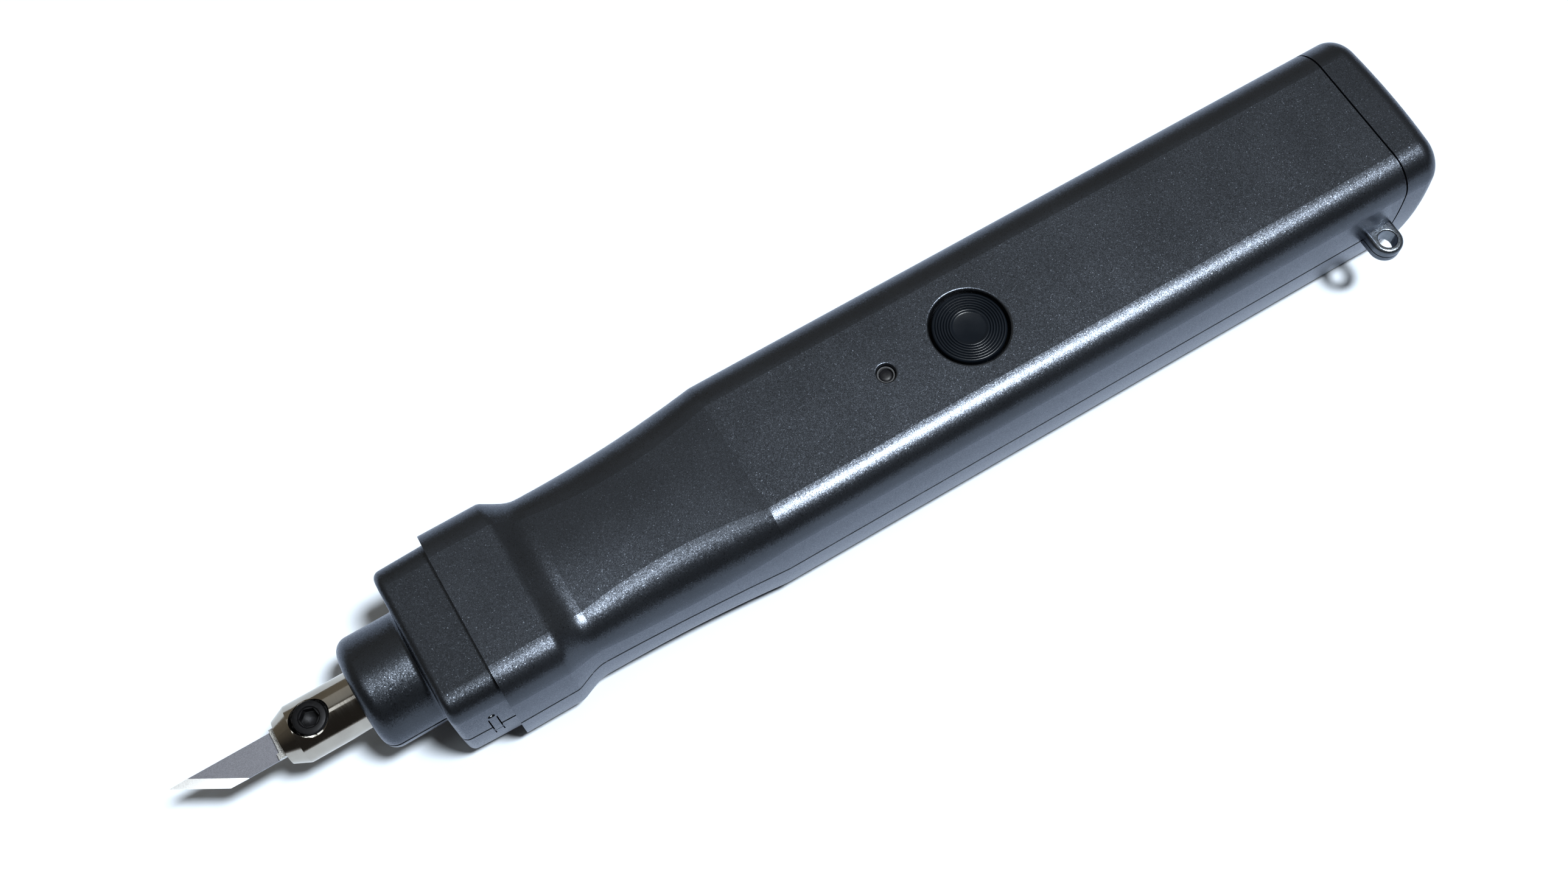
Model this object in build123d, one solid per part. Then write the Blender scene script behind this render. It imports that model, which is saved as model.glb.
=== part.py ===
from build123d import *
import math
import os

# Cordless electric utility knife. Millimetres, +Z up, blade towards -X, strap lug on the -Y side.
# The origin lies on the underside, below the tool axis, half way along the tool.

# Housing section: flat top and bottom, rounded corners, gently crowned sides
half_height = 12.5
half_width = 14.85
crown_radius = 62.0
corner_radius = 5.4
wall = 2.0

# Housing along the tool, from the collar to the tail
collar_front_x = -58.0
collar_length = 9.3
step_length = 5.4
step_sections = 8
step_lead = 0.75
flare_length = 29.6
flare_sections = 6
flare_bow = 0.53
flare_softening = 1.5
barrel_length = 110.4
cap_length = 7.8
waist_side_inset = 1.6
waist_top_inset = 1.9
waist_crown_radius = 90.0

# Parting line between the halves, and the seam of the end cap
groove_depth = 0.5
groove_height = 0.3
cap_seam_width = 0.3

# Nose: a block stepped in from the collar, and a round snout
nose_inset = 1.4
nose_block_length = 8.2
nose_draft = 0.25
nose_edge_radius = 1.2
snout_radius = 8.8
snout_length = 9.7
snout_edge_radius = 2.2
snout_root_radius = 0.8
spigot_length = 7.5
spigot_clearance = 0.1

# Side latches of the nose halves
latch_setback = 3.0
latch_width = 1.1
latch_height = 3.8
latch_drop = 2.0
latch_tail = 3.7
latch_tail_depth = 0.4
latch_depth = 1.4
latch_gap = 0.2
latch_hole_rise = 4.7
latch_hole_radius = 0.55
latch_hole_depth = 0.9

# Housing screws, driven from the underside
screw_radius = 1.1
screw_length = 17.0
screw_head_radius = 2.1
screw_head_height = 1.7
screw_drive_radius = 1.1
screw_drive_depth = 0.9
screw_seat_height = 3.6
screw_boss_radius = 2.3
screw_floor_radius = 3.4
screw_floor_height = 5.5
screw_y = 11.0
nose_screw_setback = 4.0
nose_boss_length = 5.5
middle_screw_x = 6.0
tail_screw_setback = 10.7
hole_play = 0.1
thread_play = 0.02
counterbore_play = 0.2

# Strap lug at the parting line
lug_setback = 3.0
lug_reach = 2.25
lug_radius = 2.55
lug_hole_radius = 1.5
lug_half_thickness = 1.5
lug_edge_radius = 0.6
lug_hole_edge = 0.2
lug_parting_chamfer = 0.12

# End cap
cap_edge_radius = 3.0
cap_crown_radius = 120.0
cap_rear_wall = 2.4
cap_spigot_length = 5.3
cap_spigot_wall = 1.8
cap_rib_width = 1.2
cap_rib_height = 0.9
cap_rib_setback = 2.5
cap_rib_play = 0.1
port_width = 9.4
port_height = 3.7

# Blade and what holds it
holder_reach = 12.2
holder_radius = 4.5
holder_length = 30.0
holder_chamfer_length = 2.3
holder_chamfer_depth = 1.1
blade_reach = 16.4
blade_length = 30.0
blade_width = 4.3
blade_thickness = 0.45
blade_angle = 30.0
bevel_width = 1.4
edge_thickness = 0.06
blade_play = 0.03
blade_slot_end = 0.9
clamp_plate_length = 11.0
clamp_plate_reach = 0.9
clamp_plate_width = 4.6
clamp_plate_thickness = 0.8
clamp_nub_width = 0.9
clamp_nub_reach = 0.4
set_screw_setback = 5.2
set_screw_radius = 2.45
set_screw_play = 0.05
set_screw_top = 4.25
set_screw_socket = 2.5
set_screw_socket_depth = 1.7
set_screw_edge = 0.35
set_screw_rim = 0.45
set_screw_rim_depth = 0.9

# Nose guide and wiper seal
running_gap = 0.04
seal_gap = 0.06
mouth_gap = 0.45
mouth_lip = 1.2
seal_length = 2.0
seal_radius = 6.4
bush_length = 13.0
bush_radius = 6.4
bush_flange_radius = 7.3
bush_flange_width = 1.2
holder_tail_gap = 1.0
seat_play = 0.02

# Oscillating drive: a magnet on a shaft, between two coils and two springs
drive_setback = 10.5
stator_length = 32.0
stator_radius = 8.2
stator_wall = 1.0
plate_thickness = 1.5
plate_spigot = 1.0
shaft_radius = 2.5
shaft_socket_depth = 9.0
shaft_plate_gap = 0.4
shaft_flat = 1.9
shaft_flat_margin = 2.0
shaft_tail = 1.5
magnet_length = 8.0
mover_radius = 4.5
pole_length = 3.0
ring_thickness = 0.6
ring_radius = 3.3
ring_groove_depth = 0.3
bobbin_length = 17.0
bobbin_gap = 0.4
bobbin_core_wall = 0.4
bobbin_flange = 0.8
bobbin_play = 0.05
coil_depth = 1.6
spring_wire_radius = 0.35
spring_radius = 3.95
spring_turns = 4
spring_seat_gap = 0.05
rear_bush_radius = 4.0
rear_bush_length = 7.0
rear_hub_radius = 5.2
cradle_width = 1.5
cradle_play = 0.05
front_cradle_setback = 2.5
rear_cradle_setback = 4.5

# Control board, button and indicator
board_gap = 5.0
board_length = 42.0
board_half_width = 8.2
board_thickness = 1.2
board_post_radius = 2.2
board_post_y = 5.4
board_post_setback = 5.0
board_screw_radius = 0.9
board_screw_length = 5.0
board_screw_head_radius = 1.7
board_screw_head_height = 1.1
button_x = 25.9
button_hole_radius = 6.05
button_hole_edge = 0.35
button_radius = 5.6
button_recess = 0.1
button_flange_radius = 7.0
button_flange_thickness = 1.0
button_flange_gap = 0.1
button_stem_radius = 2.0
button_stem_length = 0.6
button_disc_radius = 2.75
button_ridges = 6
button_ridge_pitch = 0.41
button_ridge_height = 0.2
button_edge = 0.3
button_travel = 0.6
switch_width = 6.0
switch_height = 3.5
switch_plunger_radius = 1.7
switch_plunger_reach = 0.8
switch_plunger_depth = 1.0
switch_plunger_gap = 0.05
led_x = 11.5
led_hole_radius = 1.45
led_hole_edge = 0.25
led_radius = 1.37
led_flange_radius = 1.9
led_flange_height = 1.0
led_length = 5.2
led_recess = 0.7
led_lead_width = 0.5
led_lead_pitch = 2.0

# Chips on the board: distance from the board's front edge, y, length, width and height
board_chips = [
    (9.5, -3.0, 5.0, 4.0, 1.5),
    (9.5, 3.2, 4.2, 4.2, 2.0),
    (21.0, 4.0, 4.0, 4.0, 0.9),
    (21.0, -4.0, 3.2, 1.6, 0.8),
]

# Battery cell and charging socket
cell_gap = 2.6
cell_radius = 7.1
cell_tail_gap = 2.1
cell_nub_radius = 2.75
cell_nub_length = 1.0
cell_edge_radius = 0.6
tab_thickness = 0.3
tab_width = 5.0
tab_overlap = 3.0
tab_margin = 0.9
cell_cradle_shares = (0.17, 0.5, 0.79)
charge_board_setback = 4.3
charge_board_length = 8.5
charge_board_thickness = 1.0
charge_board_grip = 0.4
charge_board_play = 0.05
socket_width = 8.94
socket_height = 3.26
socket_length = 7.3
socket_skin = 0.3
socket_depth = 6.0
socket_tongue_width = 6.7
socket_tongue_height = 0.7
socket_tongue_length = 4.5
socket_recess = 0.3

# Wiring
lead_radius = 0.55
charge_lead_radius = 0.7
lead_y = 7.85
lead_bend = 2.0
lead_board_y = 7.0
lead_board_setback = 1.3
front_lead_y = 2.0
drive_lead_y = 6.2
drive_lead_run = 3.0
drive_lead_hole_play = 0.1
channel_play = 0.3

# Places that follow from the sizes above
axis_z = half_height
top_z = 2 * half_height
beyond = 1.0
collar_rear_x = collar_front_x + collar_length
waist_x = collar_rear_x + step_length
barrel_front_x = waist_x + flare_length
barrel_rear_x = barrel_front_x + barrel_length
tail_x = barrel_rear_x + cap_length
block_front_x = collar_front_x - nose_block_length
snout_front_x = block_front_x - snout_length
spigot_rear_x = collar_front_x + spigot_length
spigot_inset = wall + spigot_clearance
latch_x = collar_front_x - latch_setback
holder_front_x = snout_front_x - holder_reach
holder_rear_x = holder_front_x + holder_length
blade_tip_x = holder_front_x - blade_reach
blade_rear_x = blade_tip_x + blade_length
set_screw_x = holder_front_x + set_screw_setback
blade_top_z = axis_z + blade_thickness / 2
slot_floor_z = axis_z - blade_thickness / 2 - blade_play
plate_bottom_z = blade_top_z + blade_play
plate_top_z = plate_bottom_z + clamp_plate_thickness
seal_front_x = snout_front_x + mouth_lip
bush_front_x = seal_front_x + seal_length
bush_rear_x = bush_front_x + bush_length
stator_front_x = collar_front_x + drive_setback
stator_rear_x = stator_front_x + stator_length
drive_x = (stator_front_x + stator_rear_x) / 2
plate_spigot_radius = stator_radius - stator_wall - bobbin_play
magnet_front_x = drive_x - magnet_length / 2
magnet_rear_x = drive_x + magnet_length / 2
pole_front_x = magnet_front_x - pole_length
pole_rear_x = magnet_rear_x + pole_length
ring_groove_radius = shaft_radius - ring_groove_depth
bobbin_inner = mover_radius + bobbin_gap
bobbin_core = bobbin_inner + bobbin_core_wall
bobbin_front_x = drive_x - bobbin_length / 2
bobbin_rear_x = drive_x + bobbin_length / 2
coil_window = (bobbin_length - 3 * bobbin_flange) / 2
rear_bush_rear_x = stator_rear_x + rear_bush_length
board_front_x = rear_bush_rear_x + board_gap
board_rear_x = board_front_x + board_length
button_top_z = top_z - button_recess
button_flange_z = top_z - wall - button_flange_gap - button_flange_thickness
button_foot_z = button_flange_z - button_stem_length
switch_top_z = button_foot_z - switch_plunger_reach
board_top_z = switch_top_z - switch_height
board_bottom_z = board_top_z - board_thickness
board_post_xs = (board_front_x + board_post_setback, board_rear_x - board_post_setback)
board_posts = [(x, side * board_post_y) for x in board_post_xs for side in (1, -1)]
led_top_z = top_z - led_recess
led_base_z = led_top_z - led_length
cell_front_x = board_rear_x + cell_gap
cell_body_x = cell_front_x + cell_nub_length
cap_spigot_x = barrel_rear_x - cap_spigot_length
cap_pocket_inset = spigot_inset + cap_spigot_wall
cap_rib_rear_x = barrel_rear_x - cap_rib_setback
cap_rib_front_x = cap_rib_rear_x - cap_rib_width
charge_board_x = barrel_rear_x - charge_board_setback
cell_rear_x = charge_board_x - cell_tail_gap
cell_length = cell_rear_x - cell_body_x
charge_board_rear_x = charge_board_x + charge_board_length
charge_board_half = half_width - cap_pocket_inset + charge_board_grip
charge_board_top_z = axis_z - socket_height / 2
charge_board_bottom_z = charge_board_top_z - charge_board_thickness
charge_lead_z = charge_board_top_z - charge_board_thickness / 2
socket_mouth_x = tail_x - socket_recess
nose_screws = [(collar_front_x + nose_screw_setback, side * screw_y) for side in (1, -1)]
body_screw_xs = (middle_screw_x, barrel_rear_x - tail_screw_setback)
body_screws = [(x, side * screw_y) for x in body_screw_xs for side in (1, -1)]
screw_tip_z = screw_seat_height + screw_length
channel_y = lead_y - charge_lead_radius - channel_play
channel_half_height = axis_z - charge_lead_z + charge_lead_radius + channel_play
lug_x = barrel_rear_x - lug_setback
lug_y = -half_width - lug_reach


def save(node, shape):
    """Writes one node, of one solid or of several, to its own file."""
    solids = shape.solids()
    export_step(solids[0] if len(solids) == 1 else Compound(solids), f"parts/{node}.step")


def rod_x(x0, x1, radius):
    """A round bar along the tool axis."""
    return Pos((x0 + x1) / 2, 0, axis_z) * Rot(0, 90, 0) * Cylinder(radius, x1 - x0)


def tube_x(x0, x1, outer, inner):
    """A round tube along the tool axis."""
    return rod_x(x0, x1, outer) - rod_x(x0, x1, inner)


def rod_y(x, y0, y1, z, radius):
    """A round bar across the tool."""
    return Pos(x, (y0 + y1) / 2, z) * Rot(90, 0, 0) * Cylinder(radius, y1 - y0)


def rod_z(x, y, z0, z1, radius):
    """An upright round bar."""
    return Pos(x, y, (z0 + z1) / 2) * Cylinder(radius, z1 - z0)


def box(x0, x1, y0, y1, z0, z1):
    """A box between two corners."""
    return Pos((x0 + x1) / 2, (y0 + y1) / 2, (z0 + z1) / 2) * Box(x1 - x0, y1 - y0, z1 - z0)


def spin_x(points):
    """A solid turned about the tool axis. Each point is (x, radius), or (x, radius, x, radius) where
    an arc through the second pair leads to the first."""
    edges = []
    for start, end in zip(points, points[1:] + points[:1]):
        a = Vector(start[0], 0, axis_z + start[1])
        b = Vector(end[0], 0, axis_z + end[1])
        if len(end) == 4:
            edges.append(ThreePointArc(a, Vector(end[2], 0, axis_z + end[3]), b))
        else:
            edges.append(Line(a, b))
    return revolve(make_face(edges), Axis((0, 0, axis_z), (1, 0, 0)), 360)


def half_outline(x, inset, side, waist=0, softening=0):
    """The housing outline on one side of the parting plane, side 1 above it and -1 below, from the
    +Y parting point round to the -Y one. The waist runs from 0 on the barrel to 1 at the narrowest,
    where the top is lower and crowned. The softening is added to the radius of the corners."""
    width = half_width - waist * waist_side_inset - inset
    rise = half_height - inset
    corner = max(corner_radius + softening - inset, corner_radius / 5)
    flank = crown_radius - inset
    flank_y = width - flank
    reach = flank - corner
    crowned = side > 0 and waist > 0
    if crowned:
        rise -= waist * waist_top_inset
        top = waist_crown_radius / waist - inset
        top_centre = rise - top
        span = math.hypot(flank_y, top_centre)
        along = (reach**2 - (top - corner) ** 2 + span**2) / (2 * span)
        aside = math.sqrt(reach**2 - along**2)
        corner_y = flank_y - (along * flank_y + aside * top_centre) / span
        corner_z = (along * top_centre - aside * flank_y) / span
        lean = math.atan2(corner_z - top_centre, corner_y)
        crest = (top * math.cos(lean), top_centre + top * math.sin(lean))
    else:
        corner_z = rise - corner
        corner_y = flank_y + math.sqrt(reach**2 - corner_z**2)
        lean = math.pi / 2
        crest = (corner_y, rise)
    turn = math.atan2(corner_z, corner_y - flank_y)
    half_turn = (turn + lean) / 2
    foot = (width, 0)
    flank_middle = (flank_y + flank * math.cos(turn / 2), flank * math.sin(turn / 2))
    shoulder = (flank_y + flank * math.cos(turn), flank * math.sin(turn))
    corner_middle = (corner_y + corner * math.cos(half_turn), corner_z + corner * math.sin(half_turn))

    def right(point):
        return Vector(x, point[0], axis_z + side * point[1])

    def left(point):
        return Vector(x, -point[0], axis_z + side * point[1])

    across = Line(right(crest), left(crest))
    if crowned:
        across = ThreePointArc(right(crest), right((0, rise)), left(crest))
    return [
        ThreePointArc(right(foot), right(flank_middle), right(shoulder)),
        ThreePointArc(right(shoulder), right(corner_middle), right(crest)),
        across,
        ThreePointArc(left(crest), left(corner_middle), left(shoulder)),
        ThreePointArc(left(shoulder), left(flank_middle), left(foot)),
    ]


def half_wire(x, inset, side, waist=0, softening=0):
    """The half outline, closed along the parting plane."""
    edges = half_outline(x, inset, side, waist, softening)
    return Wire(edges + [Line(edges[-1] @ 1, edges[0] @ 0)])


def full_wire(x, inset):
    """The whole housing outline."""
    return Wire(half_outline(x, inset, 1) + half_outline(x, inset, -1))


def full_bar(x0, x1, inset):
    """A bar of the whole housing section."""
    return Solid.extrude(Face(full_wire(x0, inset)), Vector(x1 - x0, 0, 0))


def step_wire(share, inset, side):
    """The outline part of the way down the step behind the collar. The step is steeper near the collar
    than at its foot, and ends at the flare's slope."""
    slope = (flare_bow - 1) * step_length / flare_length
    fall = share**step_lead
    waist = fall**2 * (3 - 2 * fall) + slope * share**2 * (share - 1)
    return half_wire(collar_rear_x + share * step_length, inset, side, waist)


def flare_wire(share, inset, side):
    """The outline part of the way up the flare, which is bowed and has softer corners in its middle."""
    waist = 1 - (1 - flare_bow) * share - flare_bow * share**2
    softening = 4 * flare_softening * share * (1 - share)
    return half_wire(waist_x + share * flare_length, inset, side, waist, softening)


def housing_half(side, inset, front_x, rear_x):
    """Half of the housing as a solid: collar, step down to the waist, flare and barrel."""
    steps = [step_wire(i / step_sections, inset, side) for i in range(step_sections + 1)]
    flares = [flare_wire(i / flare_sections, inset, side) for i in range(flare_sections + 1)]
    collar = Solid.extrude(Face(half_wire(front_x, inset, side)), Vector(collar_rear_x - front_x, 0, 0))
    barrel_start = Face(half_wire(barrel_front_x, inset, side))
    barrel = Solid.extrude(barrel_start, Vector(rear_x - barrel_front_x, 0, 0))
    return collar + Solid.make_loft(steps) + Solid.make_loft(flares) + barrel


def parting_groove(side):
    """What the thin groove along the parting line takes off one half of the housing."""
    x0 = collar_front_x - beyond
    x1 = barrel_rear_x + beyond
    reach = half_width + beyond
    z0, z1 = sorted((axis_z, axis_z + side * groove_height))
    return box(x0, x1, -reach, reach, z0, z1) - housing_half(side, groove_depth, x0, x1)


def cradle(x, radius, with_channels):
    """A rib round something that lies in the housing, with channels for the leads on both sides."""
    rib = box(x, x + cradle_width, -half_width, half_width, 0, top_z)
    rib -= rod_x(x, x + cradle_width, radius + cradle_play)
    if with_channels:
        for y0, y1 in ((channel_y, half_width), (-half_width, -channel_y)):
            low = axis_z - channel_half_height
            rib -= box(x, x + cradle_width, y0, y1, low, low + 2 * channel_half_height)
    return rib


def inner_ribs():
    """The ribs that both halves of the housing share."""
    front = stator_front_x + front_cradle_setback
    rear = stator_rear_x - rear_cradle_setback
    ribs = [cradle(x, stator_radius, False) for x in (front, rear)]
    ribs += [cradle(cell_body_x + share * cell_length, cell_radius, True) for share in cell_cradle_shares]
    rib = box(cap_rib_front_x, cap_rib_rear_x, -half_width, half_width, 0, top_z)
    ribs.append(rib - full_bar(cap_rib_front_x, cap_rib_rear_x, wall + cap_rib_height))
    return ribs


def half_lug(side):
    """Half of the strap lug, on one side of the parting plane."""
    root_y = wall / 2 - half_width
    plan = Pos(lug_x, lug_y) * Circle(lug_radius)
    plan += Pos(lug_x, (lug_y + root_y) / 2) * Rectangle(2 * lug_radius, root_y - lug_y)
    plan -= Pos(lug_x, lug_y) * Circle(lug_hole_radius)
    lug = Pos(0, 0, axis_z) * extrude(plan, lug_half_thickness)
    top = lug.faces().sort_by(Axis.Z)[-1]
    lug = fillet(top.outer_wire().edges(), lug_edge_radius)
    top = lug.faces().sort_by(Axis.Z)[-1]
    lug = fillet(top.inner_wires()[0].edges(), lug_hole_edge)
    bottom = lug.faces().sort_by(Axis.Z)[0]
    lug = chamfer(bottom.outer_wire().edges(), lug_parting_chamfer)
    return lug if side > 0 else mirror(lug, Plane.XY.offset(axis_z))


def upper_shell():
    """Upper half of the housing, with the button and indicator holes and the bosses for the screws."""
    inside = housing_half(1, wall, collar_front_x - beyond, barrel_rear_x + beyond)
    for rib in inner_ribs():
        inside -= rib
    for x, y in body_screws:
        inside -= rod_z(x, y, axis_z, top_z, screw_boss_radius)
    for x, y in nose_screws:
        inside -= rod_z(x, y, top_z - wall - nose_boss_length, top_z, screw_boss_radius)
    shell = housing_half(1, 0, collar_front_x, barrel_rear_x) - inside - parting_groove(1)
    for x, y in nose_screws + body_screws:
        shell -= rod_z(x, y, axis_z, screw_tip_z + hole_play, screw_radius + thread_play)
    holes = [(led_x, led_hole_radius, led_hole_edge), (button_x, button_hole_radius, button_hole_edge)]
    for x, radius, edge in holes:
        shell -= rod_z(x, 0, axis_z, top_z + beyond, radius)
        rims = shell.edges().filter_by(GeomType.CIRCLE).group_by(Axis.Z)[-1]
        shell = fillet(rims.sort_by(lambda rim: abs(rim.arc_center.X - x))[0], edge)
    return shell + half_lug(1)


def lower_shell():
    """Lower half of the housing, with the screw wells and the posts that carry the control board."""
    inside = housing_half(-1, wall, collar_front_x - beyond, barrel_rear_x + beyond)
    for rib in inner_ribs():
        inside -= rib
    for x, y in nose_screws + body_screws:
        inside -= rod_z(x, y, 0, screw_floor_height, screw_floor_radius)
    for x, y in body_screws:
        inside -= rod_z(x, y, 0, axis_z, screw_boss_radius)
    shell = housing_half(-1, 0, collar_front_x, barrel_rear_x) - inside - parting_groove(-1)
    for x, y in nose_screws + body_screws:
        shell -= rod_z(x, y, -beyond, screw_seat_height, screw_head_radius + counterbore_play)
        shell -= rod_z(x, y, 0, axis_z, screw_radius + hole_play)
    for x, y in board_posts:
        shell += rod_z(x, y, wall / 2, board_bottom_z, board_post_radius)
        pilot_z = board_top_z - board_screw_length - hole_play
        shell -= rod_z(x, y, pilot_z, board_bottom_z, board_screw_radius + thread_play)
    return shell + half_lug(-1)


def latch_bar(half, z0, z1):
    """An upright bar right across the nose at the side latches."""
    return box(latch_x - half, latch_x + half, -half_width, half_width, z0, z1)


def latch_ends(half, z0, z1, depth):
    """The two ends of such a bar, which reach only so deep into the flanks of the nose."""
    inner = half_width - nose_inset - depth
    return latch_bar(half, z0, z1) - box(latch_x - half, latch_x + half, -inner, inner, z0, z1)


def nose_form(inset):
    """The outside of the nose, block and snout, as a solid that lies inside it by an inset."""
    front_x = block_front_x + inset
    rear = full_wire(collar_front_x, nose_inset + inset)
    front = full_wire(front_x, nose_inset + nose_draft + inset)
    block = Solid.make_loft([rear, front], ruled=True)
    block = fillet(block.faces().sort_by(Axis.X)[0].edges(), nose_edge_radius - inset)
    radius = snout_radius - inset
    root_x = front_x - snout_root_radius
    edge = snout_edge_radius - inset
    edge_x = snout_front_x + snout_edge_radius
    bulge = math.sqrt(0.5)
    snout = spin_x([
        (edge_x - edge, 0),
        (edge_x - edge, radius - edge),
        (edge_x, radius, edge_x - bulge * edge, radius - (1 - bulge) * edge),
        (root_x, radius),
        (
            front_x,
            radius + snout_root_radius,
            root_x + bulge * snout_root_radius,
            radius + (1 - bulge) * snout_root_radius,
        ),
        (front_x + beyond, radius + snout_root_radius),
        (front_x + beyond, 0),
    ])
    return block + snout


def nose_halves():
    """Upper and lower half of the nose: the snout, the block and the spigot inside the collar."""
    solid = nose_form(0)
    solid += full_bar(collar_front_x - beyond, spigot_rear_x, spigot_inset)
    solid -= rod_x(snout_front_x - beyond, seal_front_x, holder_radius + mouth_gap)
    solid -= rod_x(seal_front_x, bush_front_x, seal_radius + seat_play)
    solid -= rod_x(bush_front_x, bush_rear_x, bush_radius + seat_play)
    flange_x = bush_rear_x - bush_flange_width
    solid -= rod_x(flange_x - seat_play, bush_rear_x + seat_play, bush_flange_radius + seat_play)
    solid -= rod_x(bush_rear_x, spigot_rear_x + beyond, holder_radius + holder_tail_gap)
    for x, y in nose_screws:
        boss_z = top_z - wall - nose_boss_length - hole_play
        solid -= rod_z(x, y, 0, top_z, screw_radius + hole_play)
        solid -= rod_z(x, y, 0, screw_floor_height + hole_play, screw_floor_radius + hole_play)
        solid -= rod_z(x, y, boss_z, top_z, screw_boss_radius + hole_play)
    half = latch_width / 2
    open_half = half + latch_gap
    slit_z = axis_z + latch_height
    tip_z = axis_z - latch_drop
    tail_z = axis_z - latch_tail
    low_z = axis_z - groove_height
    high_z = axis_z + groove_height
    groove = box(snout_front_x, collar_front_x, -half_width, half_width, low_z, high_z)
    groove = groove - nose_form(groove_depth) - latch_bar(half, low_z, high_z)
    ends = (snout_front_x - beyond, spigot_rear_x + beyond, -half_width, half_width)
    upper = solid - box(*ends, -beyond, axis_z) - groove
    upper -= latch_ends(open_half, axis_z, slit_z, latch_depth) - latch_bar(half, axis_z, slit_z)
    hole_z = axis_z + latch_hole_rise
    hole_y = half_width - nose_inset - latch_hole_depth
    upper -= rod_y(latch_x, hole_y, half_width, hole_z, latch_hole_radius)
    upper -= rod_y(latch_x, -half_width, -hole_y, hole_z, latch_hole_radius)
    upper += solid & latch_ends(half, tip_z, axis_z, latch_depth)
    lower = solid - box(*ends, axis_z, top_z + beyond) - groove
    lower -= latch_ends(open_half, tip_z - latch_gap, axis_z, latch_depth + latch_gap)
    lower -= latch_ends(open_half, tail_z, axis_z, latch_tail_depth) - latch_bar(half, tail_z, axis_z)
    return upper, lower


def end_cap():
    """The tail cap: a crowned end with rounded edges, a charging port and a ribbed spigot."""
    cap = full_bar(barrel_rear_x + cap_seam_width, tail_x, 0)
    cap &= rod_z(tail_x - cap_crown_radius, 0, -beyond, top_z + beyond, cap_crown_radius)
    cap = fillet(cap.faces().sort_by(Axis.X)[-1].edges(), cap_edge_radius)
    cap += full_bar(barrel_rear_x, barrel_rear_x + cap_seam_width, groove_depth)
    cap += full_bar(cap_spigot_x, barrel_rear_x + cap_seam_width, spigot_inset)
    cap -= full_bar(cap_spigot_x - beyond, tail_x - cap_rear_wall, cap_pocket_inset)
    rib_x0 = cap_rib_front_x - cap_rib_play
    rib_x1 = cap_rib_rear_x + cap_rib_play
    rib = box(rib_x0, rib_x1, -half_width, half_width, 0, top_z)
    cap -= rib - full_bar(rib_x0, rib_x1, spigot_inset + cap_rib_height)
    port = Plane.YZ * SlotOverall(port_width, port_height)
    cap -= Pos(tail_x - cap_rear_wall - beyond, 0, axis_z) * extrude(port, cap_rear_wall + 2 * beyond)
    slot_half = charge_board_half + charge_board_play
    slot_z0 = charge_board_bottom_z - charge_board_play
    slot_z1 = charge_board_top_z + charge_board_play
    cap -= box(cap_spigot_x - beyond, charge_board_rear_x, -slot_half, slot_half, slot_z0, slot_z1)
    return cap


def shell_screws():
    """The pan-head screws that close the housing."""
    screws = []
    for x, y in nose_screws + body_screws:
        head_z = screw_seat_height - screw_head_height
        screw = rod_z(x, y, head_z, screw_seat_height, screw_head_radius)
        screw += rod_z(x, y, screw_seat_height, screw_tip_z, screw_radius)
        screw -= rod_z(x, y, head_z, head_z + screw_drive_depth, screw_drive_radius)
        screws.append(screw)
    return Compound([s.solid() for s in screws])


def blade():
    """An art-knife blade: a plain shank and a slanted cutting edge, ground from both faces."""
    slant = math.radians(blade_angle)
    half = blade_width / 2
    heel_x = blade_tip_x + blade_width / math.tan(slant)
    corners = [(blade_tip_x, half), (blade_rear_x, half), (blade_rear_x, -half), (heel_x, -half)]
    plan = make_face(Polyline(*corners, close=True))
    body = Pos(0, 0, axis_z - blade_thickness / 2) * extrude(plan, blade_thickness)
    across = Vector(math.sin(slant), math.cos(slant), 0)
    along = Vector(math.cos(slant), -math.sin(slant), 0)
    edge = Plane((blade_tip_x, half, axis_z), x_dir=across, z_dir=along)
    thin = edge_thickness / 2
    thick = blade_thickness / 2
    ground = [(0, thin), (bevel_width, thick), (blade_length, thick)]
    ground += [(s, -z) for s, z in reversed(ground)]
    bar = extrude(edge * make_face(Polyline(*ground, close=True)), blade_length, both=True)
    return body & bar


def blade_holder():
    """The round bar that carries the blade, with its blade slot, set screw hole and shaft socket."""
    holder = spin_x([
        (holder_front_x, 0),
        (holder_front_x, holder_radius - holder_chamfer_depth),
        (holder_front_x + holder_chamfer_length, holder_radius),
        (holder_rear_x, holder_radius),
        (holder_rear_x, 0),
    ])
    half = clamp_plate_width / 2 + blade_play
    slot_top_z = plate_top_z + blade_play
    slot_rear_x = blade_rear_x + blade_slot_end
    holder -= box(holder_front_x - beyond, slot_rear_x, -half, half, slot_floor_z, slot_top_z)
    hole_radius = set_screw_radius + set_screw_play
    holder -= rod_z(set_screw_x, 0, plate_bottom_z, axis_z + holder_radius + beyond, hole_radius)
    rim = Cone(hole_radius, hole_radius + set_screw_rim, set_screw_rim_depth)
    holder -= Pos(set_screw_x, 0, axis_z + holder_radius - set_screw_rim_depth / 2) * rim
    holder -= rod_x(holder_rear_x - shaft_socket_depth, holder_rear_x, shaft_radius + seat_play)
    return holder


def clamp_plate():
    """The strip that the set screw presses onto the blade."""
    front_x = holder_front_x - clamp_plate_reach
    half = clamp_plate_width / 2
    plate = box(front_x, front_x + clamp_plate_length, -half, half, plate_bottom_z, plate_top_z)
    nub_x = front_x - clamp_nub_reach
    return plate + box(nub_x, front_x, -half, clamp_nub_width - half, plate_bottom_z, plate_top_z)


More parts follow.
